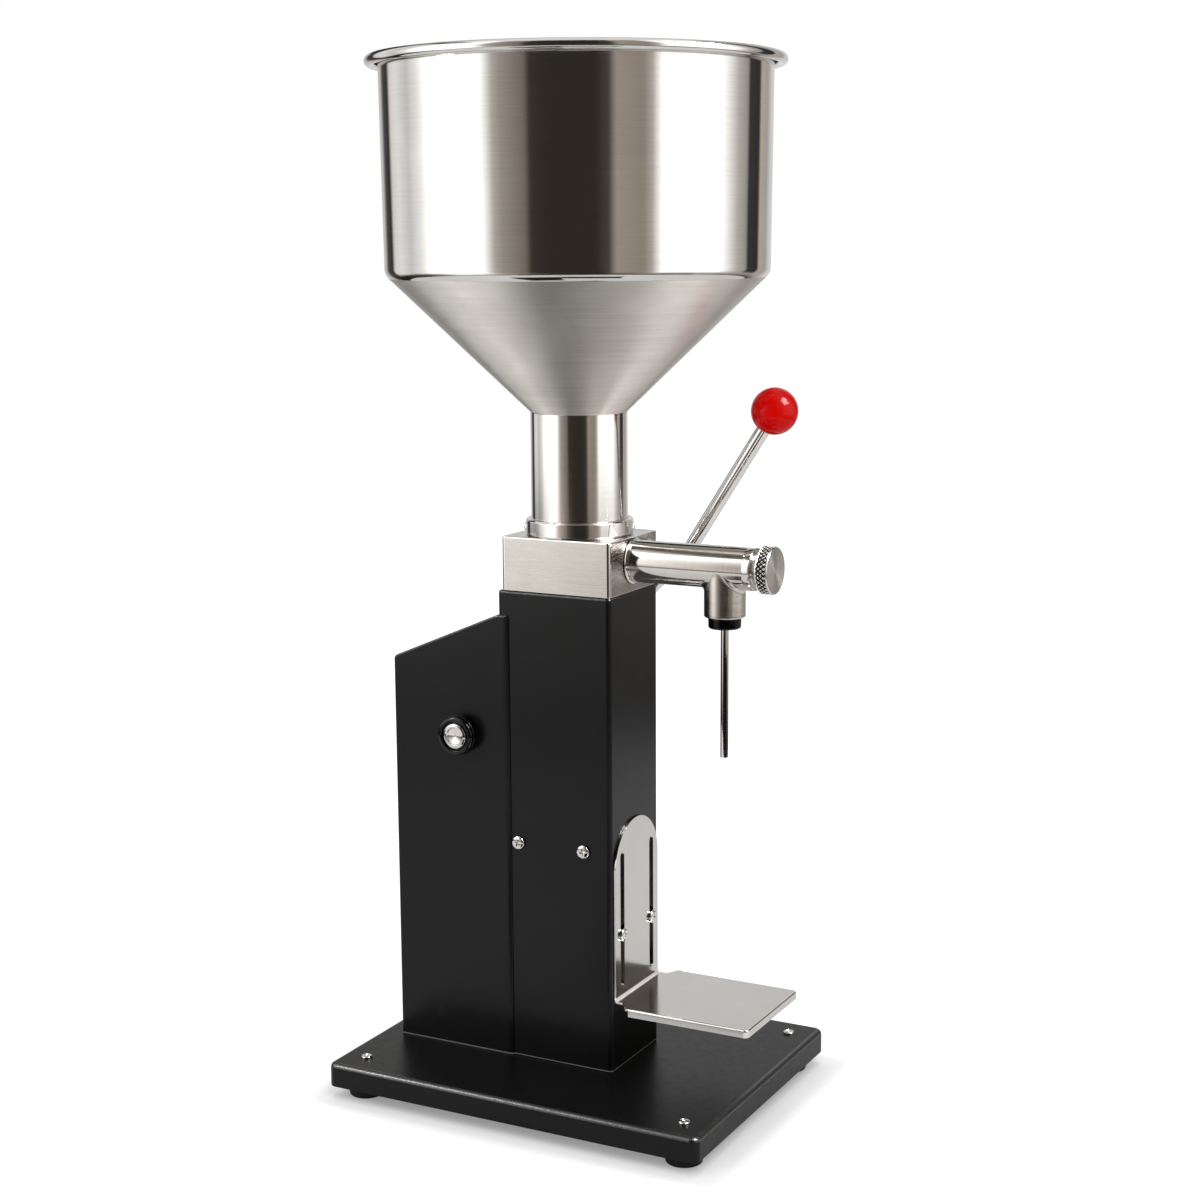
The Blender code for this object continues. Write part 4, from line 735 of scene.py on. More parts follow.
def make_cover():
    """The rear cover: one sheet folded round the back of the column, with a sloping top."""
    sheet, corner, low_top = 0.0015, 0.004, 0.343
    shaft_hole, stop_hole, clear = 0.0105, 0.0043, 0.01
    half = cover_high.x
    front, rear = cover_low.y, cover_high.y
    bottom, top = cover_low.z, cover_high.z
    fall = (top - low_top) / (rear - column_rear)
    drop = sheet * math.hypot(1, fall)
    notch_low = (sheet - half, front - clear, bottom - clear)
    below_low = (-half - clear, front - clear, bottom - clear)
    outer = rounded([
        (front, bottom - 0.003, 0), (rear, bottom - 0.003, 0), (rear, low_top, corner),
        (column_rear, top, 0.012), (front, top, 0.002),
    ], closed=True)
    inner = rounded([
        (column_rear, bottom - clear, 0), (rear - sheet, bottom - clear, 0),
        (rear - sheet, low_top + sheet * fall - drop, corner - sheet), (column_rear, top - drop, 0),
    ], closed=True)
    cover = side_plate("cover_shell", [outer], 0, 2 * half, 0.0014)
    cut(
        cover,
        side_plate("hollow", [inner], 0, 2 * (half - sheet)),
        block("notch", notch_low, (half - sheet, column_rear + 0.001, top + clear)),
        rod(shaft_hole, (-half - clear, pivot_y, pivot_z), (half + clear, pivot_y, pivot_z)),
        rod(stop_hole, (0, rear - 0.02, stop_z), (0, rear + clear, stop_z)),
        block("below", below_low, (half + clear, rear + clear, bottom)),
    )
    inside = rear - sheet
    tab = block("tab", (sheet - half, inside - 0.022, bottom), (half - sheet, inside, bottom + sheet))
    outline = [(stop_hole, 0), (0.008, 0), (0.008, 0.0055), (0.0075, 0.006), (stop_hole, 0.006)]
    merge(cover, tab, turned("boss", outline, (0, inside, stop_z), -Y_AXIS, 48, ring=True))
    turn_in(cover, front, half)
    fit(cover, "frame", "powder_black", COAT, "rear_cover")
    # Up-facing edges get grey patches: partly wear, partly painted highlight
    rub_edges(cover, WORN_COAT_AND_PAINTED_HIGHLIGHT, 0.1)


def turn_in(cover, front, half):
    """Leans the cover's front edges in towards the column, so that a dark joint runs down there."""
    depth, run, steps = 0.0014, 0.0056, 7
    bm = bmesh.new()
    bm.from_mesh(cover.data)
    slice_across(bm, [front + run * (1 - math.sin(QUARTER * k / steps)) for k in range(steps + 1)])
    for vert in bm.verts:
        inset = min(1, max(0, (front + run - vert.co.y) / run))
        reach = half - depth * (1 - math.sqrt(1 - inset**2))
        if abs(vert.co.x) > reach:
            vert.co.x = math.copysign(reach, vert.co.x)
    bm.to_mesh(cover.data)
    bm.free()
    shade(cover.data)


# ---------------------------------------------------------------- pivot, lever and ball


def make_shaft():
    """The pivot shaft. Both ends have a crowned lip round a shallow cone with a centre drill's hole."""
    radius = (shaft_high.y - shaft_low.y) / 2
    length = shaft_high.x - shaft_low.x
    end = [
        (0, 0.0034, 0), (0.0007, 0.0032, 0), (0.0008, 0.0019, 0.0001), (0.0062, 0.0010, 0.0003),
        (0.0068, 0.0001, 0.0004), (0.0084, 0, 0.0010), (radius - 0.0004, 0.0008, 0.0008),
        (radius, 0.0026, 0.0006),
    ]
    other = [(r, length - h, bend) for r, h, bend in reversed(end)]
    shaft = turned("shaft", rounded(end + other, 4), (shaft_low.x, pivot_y, pivot_z), X_AXIS)
    fit(shaft, "lever", "steel_polished", POLISHED, "pivot_shaft")


def make_shaft_collars():
    bore = 0.0103
    for label, way in (("left", -1), ("right", 1)):
        node = f"shaft_collar_{label}"
        low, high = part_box(node)
        radius = (high.y - low.y) / 2 - 0.0012
        length = high.x - low.x
        outline = [
            (bore, 0, 0), (radius - 0.0008, 0, 0.0006), (radius, 0.0008, 0.0006),
            (radius, length - 0.0044, 0.0006), (radius - 0.0004, length - 0.0040, 0.0003),
            (radius - 0.0004, length - 0.0004, 0.0022), (radius - 0.0030, length, 0.0008),
            (bore + 0.0016, length, 0.0007), (bore + 0.0008, length - 0.0020, 0.0003),
            (bore, length - 0.0020, 0),
        ]
        place = (way * min(abs(low.x), abs(high.x)), pivot_y, pivot_z)
        collar = turned_ring(node + "_visible", outline, place, X_AXIS * way)
        fit(collar, "lever", "plastic_black", NYLON, node)


def make_lever():
    """The bent bar from inside its hub to inside the ball, the hub with its screw hole, and the ball."""
    hub_low, hub_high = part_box("lever_hub")
    x = (hub_low.x + hub_high.x) / 2
    hub = Vector((x, pivot_y, pivot_z))
    ball = Vector((x, (ball_low.y + ball_high.y) / 2, (ball_low.z + ball_high.z) / 2))
    bend, bend_radius, steps = Vector((x, -0.0612, 0.4244)), 0.040, 12
    rod_radius, screw_hole, depth_in_ball = 0.0054, 0.0033, 0.0055
    lower = (bend - hub).normalized()
    upper = (ball - bend).normalized()
    turn = lower.angle(upper)
    normal = (upper - lower * lower.dot(upper)).normalized()
    centre = bend - lower * (bend_radius * math.tan(turn / 2)) + normal * bend_radius
    line = [hub + lower * 0.014]
    for i in range(steps + 1):
        across, along = math.cos(turn * i / steps), math.sin(turn * i / steps)
        line.append(centre - normal * bend_radius * across + lower * bend_radius * along)
    line.append(ball - upper * depth_in_ball)
    fit(bar("lever_bar", line, rod_radius, 48), "lever", "steel_polished", POLISHED, "lever_rod")

    length = hub_high.x - hub_low.x
    bore, radius = 0.0105, 0.019
    outline = [
        (bore, 0.0006, 0), (bore + 0.0006, 0, 0), (radius - 0.0012, 0, 0.0004), (radius, 0.0012, 0.0004),
        (radius, length - 0.0012, 0.0004), (radius - 0.0012, length, 0.0004), (bore + 0.0006, length, 0),
        (bore, length - 0.0006, 0),
    ]
    drum = turned_ring("hub_drum", outline, (hub_low.x, pivot_y, pivot_z), X_AXIS, steps=3)
    cut(drum, rod(screw_hole, hub - lower * 0.009, hub - lower * 0.025, 32))
    outline = [(0.0062, 0.017, 0), (0.0086, 0.017, 0), (0.0086, 0.034, 0.0012), (0.0058, 0.034, 0)]
    outline.append((0.0058, 0.017, 0))
    merge(drum, turned_ring("hub_boss", outline, hub, lower, 64, closed=True))
    fit(drum, "lever", "steel_machined", MACHINED, "lever_hub")

    mouth = math.degrees(math.asin(0.0078 / ball_radius))
    outline = [(0.0057, -depth_in_ball), (0.0057, -0.0160), (0.0062, -0.0165), (0.0076, -0.0163)]
    outline += arc(0, 0, ball_radius, mouth - 90, 88, 40) + [(0, ball_radius)]
    fit(turned("ball", outline, ball, upper), "lever", "ball_red", RED, "ball_knob")


# ---------------------------------------------------------------- valve block, hopper and collar


def make_block():
    """The valve block with its chamber, the recesses for the seat above and the cylinder's spigot and
    flange below, and the port to the outlet tube."""
    low, high = block_low.z, block_high.z
    chamber, port, clear = 0.020, 0.010, 0.004
    seat, seat_depth = 0.0235, 0.0077
    spigot, spigot_depth = 0.022, 0.0067
    flange, flange_depth = 0.029, 0.0034
    body = block("block_body", block_low, block_high, 0.0028, 0.0012, 0.0006, 6)
    cut(
        body,
        upright_rod(seat, high - seat_depth, high + clear),
        upright_rod(chamber, low - clear, high + clear),
        upright_rod(spigot, low - clear, low + spigot_depth),
        upright_rod(flange, low - clear, low + flange_depth),
        rod(port, (0, axis_y, outlet_z), (0, block_low.y - clear, outlet_z)),
    )
    fit(body, "frame", "steel_brushed", BLOCK_STEEL, "valve_block")
    rub_edges(body, BURNISHED)


def make_hopper():
    """The spun hopper in one skin: neck, cone, knee, body and the rim curled outwards over a wire."""
    sheet, bead = 0.0015, 0.004
    body, knee, neck = 0.1465, 0.1447, 0.037
    foot, top = hopper_low.z, hopper_high.z
    bead_x, bead_z = hopper_high.x - bead, top - bead
    outline = rounded([
        (neck, foot, 0), (neck, cone_foot, 0.0012), (knee, cone_top, 0.010), (body, top - sheet, 0.0008),
        (bead_x, top - sheet, 0),
    ], 8)
    outline += arc(bead_x, bead_z, bead - sheet, 90, -150, 24)[1:]
    outline += arc(bead_x, bead_z, bead, -150, 90, 28)
    outline += rounded([
        (bead_x, top, 0), (body - sheet, top, 0.0035), (knee - sheet, cone_top + 0.0006, 0.0085),
        (neck - sheet, cone_foot + 0.0007, 0.0015), (neck - sheet, foot, 0),
    ], 8)[1:]
    hopper = turned("hopper_shell", outline, hopper_axis, sides=192, ring=True, crease=35)
    fit(hopper, "frame", "steel_brushed", SPUN, "hopper")
    cone_end = cone_top - 0.0035
    refinish(hopper, SPUN_CONE, lambda f: cone_foot < f.center.z < cone_end and f.normal.z < -0.2)


def make_collar():
    """The ring that clamps the hopper's neck, with a bright lip and two domed screws."""
    low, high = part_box("hopper_collar")
    bore, radius = 0.0373, (high.x - low.x) / 2
    outline = [
        (bore, low.z, 0), (radius - 0.0003, low.z, 0.0003), (radius, low.z + 0.0010, 0.0005),
        (radius, high.z - 0.0012, 0.0007), (radius - 0.0011, high.z, 0.0006),
        (bore + 0.0010, high.z, 0.0003), (bore, high.z - 0.0012, 0),
    ]
    ring = turned_ring("collar_ring", outline, hopper_axis, sides=160, steps=4)
    fit(ring, "frame", "steel_polished", POLISHED, "hopper_collar")
    outline = rounded([(0, 0.0052, 0), (0.0031, 0.0050, 0.0020), (0.0031, 0, 0), (0, 0, 0)], 6)
    for label in ("front", "rear"):
        node = f"grub_screw_{label}"
        low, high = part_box(node)
        middle = (low + high) / 2
        way = Vector((middle.x, middle.y - axis_y, 0)).normalized()
        screw = turned(node + "_visible", outline, sides=40)
        cut(screw, rod(0.0012, (0, 0, 0.0035), (0, 0, 0.0060), 6))
        set_down(screw, Vector((0, axis_y, middle.z)) + way * (0.0425 - 0.0052), way)
        fit(screw, "frame", "steel_polished", POLISHED, node)


def make_inlet():
    """The white seat below the hopper's neck, with its funnel, and the ball that closes it."""
    low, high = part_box("inlet_seat")
    outline = [(0.018, high.z, 0.0004), (0.0232, high.z, 0.0003)]
    outline += [(0.0232, low.z, 0.0003), (0.011, low.z, 0.0004)]
    seat = turned_ring("seat_ring", outline, hopper_axis, steps=3, closed=True)
    fit(seat, "frame", "seal_white", SEAL_WHITE, "inlet_seat")
    low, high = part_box("inlet_ball")
    radius = (high.x - low.x) / 2
    outline = [(0, -radius)] + arc(0, 0, radius, -86, 86, 32) + [(0, radius)]
    ball = turned("inlet_ball_round", outline, (low + high) / 2, sides=64)
    fit(ball, "inlet_ball", "steel_polished", POLISHED, "inlet_ball")


# ---------------------------------------------------------------- outlet, cap and nozzle


def make_tube():
    """The outlet tube, drawn along -Y from the block, with a hollow weld fillet where they meet."""
    start, r = tube_high.y, tube_radius
    reach = start - tube_low.y
    flare = tube_high.x - r
    outline = [(0.0065, 0)] + arc(r + flare, flare + 0.0003, flare, 270, 184, 8)
    outline += [(r + 0.0004, flare + 0.0006), (r + 0.0005, flare + 0.0012), (r + 0.0002, flare + 0.0017)]
    outline += rounded([
        (r, 0.007, 0), (r, reach, 0), (0.0125, reach, 0.0003), (0.012, reach - 0.001, 0),
        (0.012, 0.0068, 0), (0.0065, 0.0068, 0),
    ], 4)[1:]
    tube = turned("tube", outline, (0, start, outlet_z), -Y_AXIS, 128, ring=True, crease=32)
    fit(tube, "frame", "steel_brushed", TUBE_STEEL, "outlet_tube")


def make_branch():
    """The outlet's downward branch, with a fillet that runs up over the tube as a saddle."""
    sides, saddle_steps = 128, 8
    fillet, r, skin = 0.0036, branch_radius, tube_radius - 0.00003
    foot = rounded([(0.0085, 0.0006, 0), (0.0085, 0, 0.0003), (r, 0, 0.0013), (r, 0.003, 0)])
    rings = [circle(radius, tube_low.z + height, sides) for radius, height in foot]
    saddle = [[] for _ in range(saddle_steps + 1)]
    for across, along, _ in circle(1, 0, sides):
        swing = math.asin(r * across / tube_radius)
        meet = Vector((r * across, r * along, outlet_z - tube_radius * math.cos(swing)))
        below = meet - Z_AXIS * fillet
        out = swing + fillet * across / tube_radius
        beyond = Vector((skin * math.sin(out), (r + fillet) * along, outlet_z - skin * math.cos(out)))
        for k in range(saddle_steps + 1):
            t = k / saddle_steps
            saddle[k].append(below * (1 - t) ** 2 + meet * (2 * t * (1 - t)) + beyond * t**2)
    bm = bmesh.new()
    rings += saddle
    fill_between(bm, [[bm.verts.new((x, y + branch_y, z)) for x, y, z in ring] for ring in rings])
    fit(piece_from("branch", bm, 40), "frame", "steel_brushed", BRANCH_STEEL)


def make_end_cap():
    """The knurled cap: a plain shank as wide as the tube, a groove, a bevelled nose, a band of diamond
    knurling and a faced end."""
    radius = (cap_high.x - cap_low.x) / 2
    start = tube_low.y
    length = start - cap_low.y
    shank, nose, knurl_end = 0.0060, 0.0118, length - 0.0013
    # The real knurl is about 1.6 mm across; it is cut at 3.6 mm so that the render can show it
    teeth, depth, rows, lean = 31, 0.0012, 36, 0.85
    outline = [(0, -0.0075), (0.0110, -0.0075)]
    outline += rounded([
        (0.0117, -0.0075, 0), (tube_radius, 0, 0), (tube_radius, shank, 0.0006),
        (0.0130, shank + 0.0001, 0.0002), (0.0130, shank + 0.0012, 0.0003),
        (0.0144, shank + 0.0016, 0.0005), (radius - 0.0009, nose - 0.0008, 0.0012),
        (radius - 0.0008, nose, 0),
    ], 4)
    outline += [(radius, nose + (knurl_end - nose) * i / rows) for i in range(rows + 1)]
    outline += rounded([
        (radius - 0.0007, knurl_end + 0.0001, 0), (radius - 0.0007, knurl_end + 0.0003, 0.0001),
        (radius - 0.0002, knurl_end + 0.0005, 0.0001), (radius - 0.0002, length - 0.0006, 0.0003),
        (radius - 0.0008, length, 0.0003), (0, length - 0.0003, 0),
    ], 3)
    cap = turned("cap_head", outline, sides=teeth * 7)

    def diamonds(around, z):
        up = (z - nose) / (FULL_TURN * radius / teeth) * lean
        height = min(abs(((around + way * up) % 1) - 0.5) * 2 for way in (1, -1))
        return depth * (1 - height) * min(1, (z - nose) / 0.0005, (knurl_end - z) / 0.0005)

    knurl(cap, radius, nose, knurl_end, teeth, diamonds)
    set_down(cap, (0, start, outlet_z), -Y_AXIS)
    fit(cap, "end_cap", "steel_polished", CAP_STEEL, "end_cap")

    def faces_in(first, last, innermost):
        def picked(face):
            x, y, z = face.center
            return first < start - y < last and math.hypot(x, z - outlet_z) > innermost
        return picked

    refinish(cap, KNURLED_STEEL, faces_in(nose, knurl_end, radius - 0.0015))
    refinish(cap, TUBE_STEEL, faces_in(-1, shank, tube_radius - 0.0006))


def make_nozzle():
    top, low = nut_high.z - 0.012, nut_low.z
    radius = (nut_high.x - nut_low.x) / 2
    outline = [
        (0.0033, low + 0.0012, 0), (0.0045, low, 0.0003), (radius - 0.0002, low, 0.0016),
        (radius, top, 0.0006), (0.0075, top, 0), (0.0075, nut_high.z, 0.0004), (0.0033, nut_high.z, 0),
    ]
    nut = turned_ring("nut", outline, (0, branch_y, 0))
    fit(nut, "nozzle_nut", "plastic_black", NYLON, "nozzle_nut")
    low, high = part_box("nozzle")
    radius, bore, flange = 0.003, 0.0022, 0.0065
    outline = [
        (bore, low.z + 0.0004, 0), (bore + 0.0003, low.z, 0.0001), (radius, low.z, 0.0003),
        (radius, high.z - 0.002, 0.0004), (flange, high.z - 0.002, 0.0002), (flange, high.z, 0.0002),
        (bore, high.z, 0),
    ]
    nozzle = turned_ring("nozzle_pipe", outline, (0, branch_y, 0), sides=48, steps=3)
    fit(nozzle, "frame", "steel_polished", POLISHED, "nozzle")


# ---------------------------------------------------------------- tray


def make_tray():
    """The tray, folded from one sheet: an upright plate with two slots, a bend, a neck that widens in
    an S, and a deck whose front and sides are turned down. It is drawn flat and then bent."""
    sheet, bend, fold, slot = 0.0015, 0.0020, 0.0016, 0.0034
    half, neck, plate_half = 0.0485, 0.0380, 0.0365
    deck_z, shoulder = 0.087, -0.0606
    front = tray_low.y
    plate_y = column_low.y - 0.0003 - sheet
    bend_start = plate_y - bend
    bend_end = bend_start + bend * QUARTER
    lift = bend_end - (deck_z + bend)
    right = [
        (half - fold, front + fold, 0.002), (half - fold, shoulder - 0.0035, 0),
        (half, shoulder - 0.0032, 0.0002), (half, shoulder + 0.0003, 0.0040),
        (neck, bend_start - 0.0060, 0.0045), (neck, bend_start - 0.0004, 0),
        (plate_half, bend_end + 0.0004, 0.0006),
    ]
    left = [(-x, y, radius) for x, y, radius in reversed(right)]
    crown = [(x, y, 0) for x, y in arc(0, tray_high.z + lift - plate_half, plate_half, 0, 180, 40)]
    outlines = [rounded(right + crown + left, 6, closed=True)]
    for x in (-0.025, 0.025):
        low, high = 0.0956 + slot + lift, 0.2027 - slot + lift
        outlines.append(arc(x, high, slot, 0, 180, 12) + arc(x, low, slot, 180, 360, 12))
    bm = bmesh.new()
    for outline in outlines:
        verts = [bm.verts.new((x, y, 0)) for x, y in outline]
        for i, vert in enumerate(verts):
            bm.edges.new((vert, verts[(i + 1) % len(verts)]))
    bmesh.ops.remove_doubles(bm, verts=bm.verts, dist=0.00001)
    bmesh.ops.triangle_fill(bm, use_beauty=True, edges=bm.edges, normal=Z_AXIS)
    steps = 8
    slice_across(bm, [bend_start + (bend_end - bend_start) * k / steps for k in range(steps + 1)])
    rim_edges = []
    for edge in bm.edges:
        one, other = (vert.co for vert in edge.verts)
        level = abs(one.y - other.y) < TINY and one.y > front + 0.02
        if len(edge.link_faces) == 1 and max(one.y, other.y) < shoulder - 0.0034 and not level:
            rim_edges.append(edge)
    for face in bm.faces:
        if face.normal.z < 0:
            face.normal_flip()
    turn_down(bm, rim_edges, half, front, fold, deck_z - tray_low.z)
    for vert in bm.verts:
        x, y, drop = vert.co
        if y > bend_end:
            vert.co = (x, plate_y, y - lift)
        elif y > bend_start:
            angle = (y - bend_start) / bend
            vert.co = (x, bend_start + bend * math.sin(angle), deck_z + bend * (1 - math.cos(angle)))
        else:
            vert.co = (x, y, deck_z + drop)
    mesh = bpy.data.meshes.new("tray_sheet")
    bm.to_mesh(mesh)
    bm.free()
    shade(mesh)
    tray = add_piece("tray_sheet", mesh)
    thicken(tray, sheet)
    soften(tray, 0.00058, 3, 50)
    fit(tray, "tray", "steel_brushed", TRAY_STEEL, "product_tray")
    rub_edges(tray, BURNISHED)

    def in_bend(face):
        _, y, z = face.center
        return bend_start - 0.0002 < y < plate_y and z < deck_z + bend and abs(face.normal.x) < 0.3

    refinish(tray, PRESSED, in_bend)


def turn_down(bm, edges, half, front, fold, rim):
    """Folds the deck's outer edges down: each row of new points goes out and down round the fold."""
    corner, steps = 0.002, 5
    centre_x, centre_y = half - fold - corner, front + fold + corner
    angles = [QUARTER * k / steps for k in range(1, steps + 1)]
    rows = [(fold * math.sin(a), fold * (1 - math.cos(a))) for a in angles] + [(fold, rim)]
    last = {v: v for e in edges for v in e.verts}
    start = {v: v.co.copy() for v in last}
    outward = {}
    for vert in last:
        x, y = abs(vert.co.x), vert.co.y
        side = 1 if vert.co.x > 0 else -1
        if x > centre_x and y < centre_y:
            way = Vector((x - centre_x, y - centre_y, 0)).normalized()
            way.x *= side
        elif x > centre_x:
            way = X_AXIS * side
        else:
            way = -Y_AXIS
        outward[vert] = way
    for out, down in rows:
        fresh = {v: bm.verts.new(start[v] + outward[v] * out - Z_AXIS * down) for v in start}
        for edge in edges:
            one, other = edge.verts
            face = bm.faces.new((last[one], last[other], fresh[other], fresh[one]))
            face.normal_update()
            if face.normal.dot(outward[one] + Z_AXIS * 0.5) < 0:
                face.normal_flip()
        last = fresh


# ---------------------------------------------------------------- stroke stop


def make_stroke_stop():
    """The stroke screw with its knurled head and the lock nut, behind the cover."""
    head, radius, shank = 0.0076, 0.009, 0.004
    teeth, depth, rows = 40, 0.0004, 12
    length = knob_high.y - knob_low.y
    under = length - head
    outline = rounded([
        (0, 0, 0), (shank - 0.0006, 0, 0), (shank, 0.0006, 0), (shank, under, 0),
        (radius - 0.0008, under, 0.0003), (radius, under + 0.0008, 0),
    ], 3)
    low, high = under + 0.0010, length - 0.0012
    outline += [(radius, low + (high - low) * i / rows) for i in range(rows + 1)]
    outline += rounded([
        (radius, length - 0.0010, 0), (radius - 0.0009, length, 0.0004), (0.0045, length, 0),
        (0.0042, length - 0.0005, 0), (0, length - 0.0005, 0),
    ], 3)
    knob = turned("stroke_knob", outline, sides=teeth * 4)
    knurl(knob, radius, low, high, teeth, lambda around, z: depth * (1 - abs((around % 1) - 0.5) * 2))
    set_down(knob, (0, knob_low.y, stop_z), Y_AXIS)
    fit(knob, "stroke_screw", "steel_polished", POLISHED, "stroke_screw")

    # The lock nut, a hexagon with its corners rounded off at both ends
    low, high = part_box("stroke_lock_nut")
    corner, length = 0.0075, high.y - low.y
    outline = [(0, 0), (corner, 0), (corner, length), (0, length)]
    nut = turned("stroke_lock_nut_visible", outline, sides=6)
    wide, narrow = corner * 1.02, corner * 0.9
    outline = [(0, 0), (narrow, 0), (wide, 0.0009)]
    outline += [(wide, length - 0.0009), (narrow, length), (0, length)]
    cut(nut, turned("taper", outline, sides=64), operation="INTERSECT")
    cut(nut, rod(0.0043, (0, 0, -0.002), (0, 0, length + 0.002), 48))
    set_down(nut, (low + high) / 2 - Y_AXIS * (length / 2), Y_AXIS)
    soften(nut, 0.0002)
    fit(nut, "frame", "steel_polished", POLISHED, "stroke_lock_nut")


# ---------------------------------------------------------------- the machine

make_base_pan()
for number in range(1, 5):
    make_foot(number)
    make_screw(f"foot_screw_{number}", Z_AXIS, 0.0045, 0.0020, 0.0023, 17 + 38 * number)
make_column()
make_cover()
for number, turn in enumerate((12, 64, 35, 80), 1):
    side = -1 if number < 3 else 1
    make_screw(f"side_screw_{number}", X_AXIS * side, 0.0054, 0.0024, 0.0025, turn)
make_shaft()
make_shaft_collars()
make_lever()
make_block()
make_hopper()
make_collar()
make_inlet()
make_tube()
make_branch()
make_end_cap()
make_nozzle()
make_tray()
for number, turn in enumerate((25, 70), 1):
    make_screw(f"tray_screw_{number}", -Y_AXIS, 0.0054, 0.0028, 0.0022, turn)
make_stroke_stop()

dress(MACHINED, "guide_bracket", "rocker_arm", "crosshead", "hub_screw", "inlet_spring", "outlet_spring")
dress(POLISHED, "piston_rod", "cross_pin", "piston", "metering_cylinder", "inlet_cage", "outlet_ball")
for kind in ("block_screw", "column_bolt", "cover_screw"):
    dress(POLISHED, kind + "_1", kind + "_2")
dress(BRONZE, "shaft_bush_left", "shaft_bush_right", "cylinder_cap")
dress(SEAL_WHITE, "piston_seal", "hopper_seal")


# ---------------------------------------------------------------- studio


def studio_floor():
    """A pale floor. It shows white to the camera and to shiny steel, and keeps the machine's shadow. Its
    glow is turned down close round the base, which paints a shadow there on top of the real one."""
    bm = bmesh.new()
    bmesh.ops.create_grid(bm, x_segments=8, y_segments=8, size=6)
    floor = piece_from("studio_floor", bm)
    finish, tree = new_finish("pale_studio_paper")
    tone = spread(tree, pattern(tree, 400, 1), 0, 1)
    path = ray_kinds(tree)
    apart = vector_maths(tree, "ABSOLUTE", on_piece(tree))
    clear = vector_maths(tree, "SUBTRACT", apart, (base_high.x, base_high.y, 0))
    away = vector_maths(tree, "LENGTH", vector_maths(tree, "MAXIMUM", clear, (0, 0, 0)), out="Value")
    # Painted shadow: the camera sees less glow within a few centimetres of the base
    glow_with_painted_shadow = spread(tree, away, 0.24, 0.52, 0.006, 0.026)
    seen = maths(tree, "MULTIPLY", path["Is Camera Ray"], glow_with_painted_shadow)
    shiny = maths(tree, "ADD", path["Is Glossy Ray"], path["Is Transmission Ray"])
    join(tree, tree.nodes["Principled BSDF"], {
        "Base Color": two_colours(tree, tone, "#e9e9e9", "#ececec"),
        "Roughness": 0.9,
        "Specular IOR Level": 0.0,
        "Emission Color": (1, 1, 1, 1),
        "Emission Strength": maths(tree, "ADD", seen, maths(tree, "MULTIPLY", shiny, 0.05)),
    })
    floor.data.materials.append(finish)


# The studio as shiny steel sees it, at eye height and near the floor: degrees round the machine
# from the camera's side, brightness and tint
STUDIO_BANDS = (
    (-180, 0.45, "#ffffff"), (-151, 0.34, "#fff8f2"), (-144, 0.05, "#ffffff"), (-134, 0.02, "#ffffff"),
    (-130, 0.50, "#fffaf6"), (-121, 0.58, "#ffffff"), (-108, 0.44, "#ffffff"), (-98, 0.66, "#ffffff"),
    (-89, 1.05, "#ffffff"), (-54, 1.05, "#ffffff"), (-46, 0.34, "#fff8f2"), (-41, 0.24, "#fff4ea"),
    (-28, 0.13, "#ffeee0"), (-25, 0.030, "#ffeee0"), (-16, 0.022, "#ffeee0"), (10, 0.022, "#ffeee0"),
    (17, 0.05, "#ffeee0"), (21, 0.25, "#fff0e2"), (36, 0.20, "#fff0e2"), (41, 0.34, "#fff4ea"),
    (47, 1.00, "#ffffff"), (85, 1.05, "#ffffff"), (95, 0.58, "#ffffff"), (101, 0.36, "#fffaf6"),
    (110, 0.24, "#fff8f2"), (112.5, 0.03, "#ffffff"), (125, 0.02, "#ffffff"), (128, 0.33, "#fff0e2"),
    (139, 0.26, "#fffaf6"), (148, 0.40, "#ffffff"), (180, 0.45, "#ffffff"),
)
STUDIO_FOOT = (
    (-180, 0.45, "#ffffff"), (-152, 0.20, "#ffffff"), (-145, 0.01, "#ffffff"), (-118, 0.02, "#ffffff"),
    (-98, 0.05, "#ffe8d8"), (-86, 0.25, "#fff0e2"), (-70, 0.86, "#fffaf6"), (-56, 0.72, "#fff8f2"),
    (-42, 0.34, "#fff4ea"), (-30, 0.16, "#ffeee0"), (-19, 0.05, "#ffeee0"), (-10, 0.015, "#ffeee0"),
    (12, 0.015, "#ffeee0"), (23, 0.09, "#ffeee0"), (33, 0.18, "#fff0e2"), (43, 0.32, "#fff0e2"),
    (56, 0.26, "#fff0e2"), (75, 0.38, "#fff4ea"), (109, 0.30, "#fff4ea"), (124, 0.24, "#fff4ea"),
    (150, 0.30, "#ffffff"), (180, 0.45, "#ffffff"),
)
BLACK_CLOTH, WHITE_PANEL = "#1c1714", "#ffffff"


def bands(tree, share, stops):
    ramp = add_node(tree, "ShaderNodeValToRGB", {0: share}, None)
    elements = ramp.color_ramp.elements
    while len(elements) < len(stops):
        elements.new(0.5)
    for element, (degrees, brightness, tint) in zip(elements, stops):
        element.position = degrees / 360 + 0.5
        element.color = (*[brightness * c for c in linear(tint)[:3]], 1)
    return ramp.outputs[0]


def light_only_steel(piece, ending, colour, brightness):
    """Gives a stage piece a light of its own that shows in shiny surfaces and nowhere else. Light that a
    matt surface has already scattered doesn't see it either. ending closes the finish's name. A function
    in the colour's place adds nodes of its own, and gives both the colour and the brightness."""
    finish, tree = new_finish(piece.name + ending)
    tree.nodes.clear()
    path = ray_kinds(tree)
    first_hand = spread(tree, path["Diffuse Depth"], 1, 0, 0, 1)
    if callable(colour):
        colour, brightness = colour(tree)
    strength = maths(tree, "MULTIPLY", brightness, first_hand)
    light = add_node(tree, "ShaderNodeEmission", {"Color": colour, "Strength": strength})
    add_node(tree, "ShaderNodeOutputMaterial", {"Surface": light}, None)
    piece.data.materials.append(finish)
    for rays in ("camera", "diffuse", "shadow", "volume_scatter"):
        setattr(piece, "visible_" + rays, False)


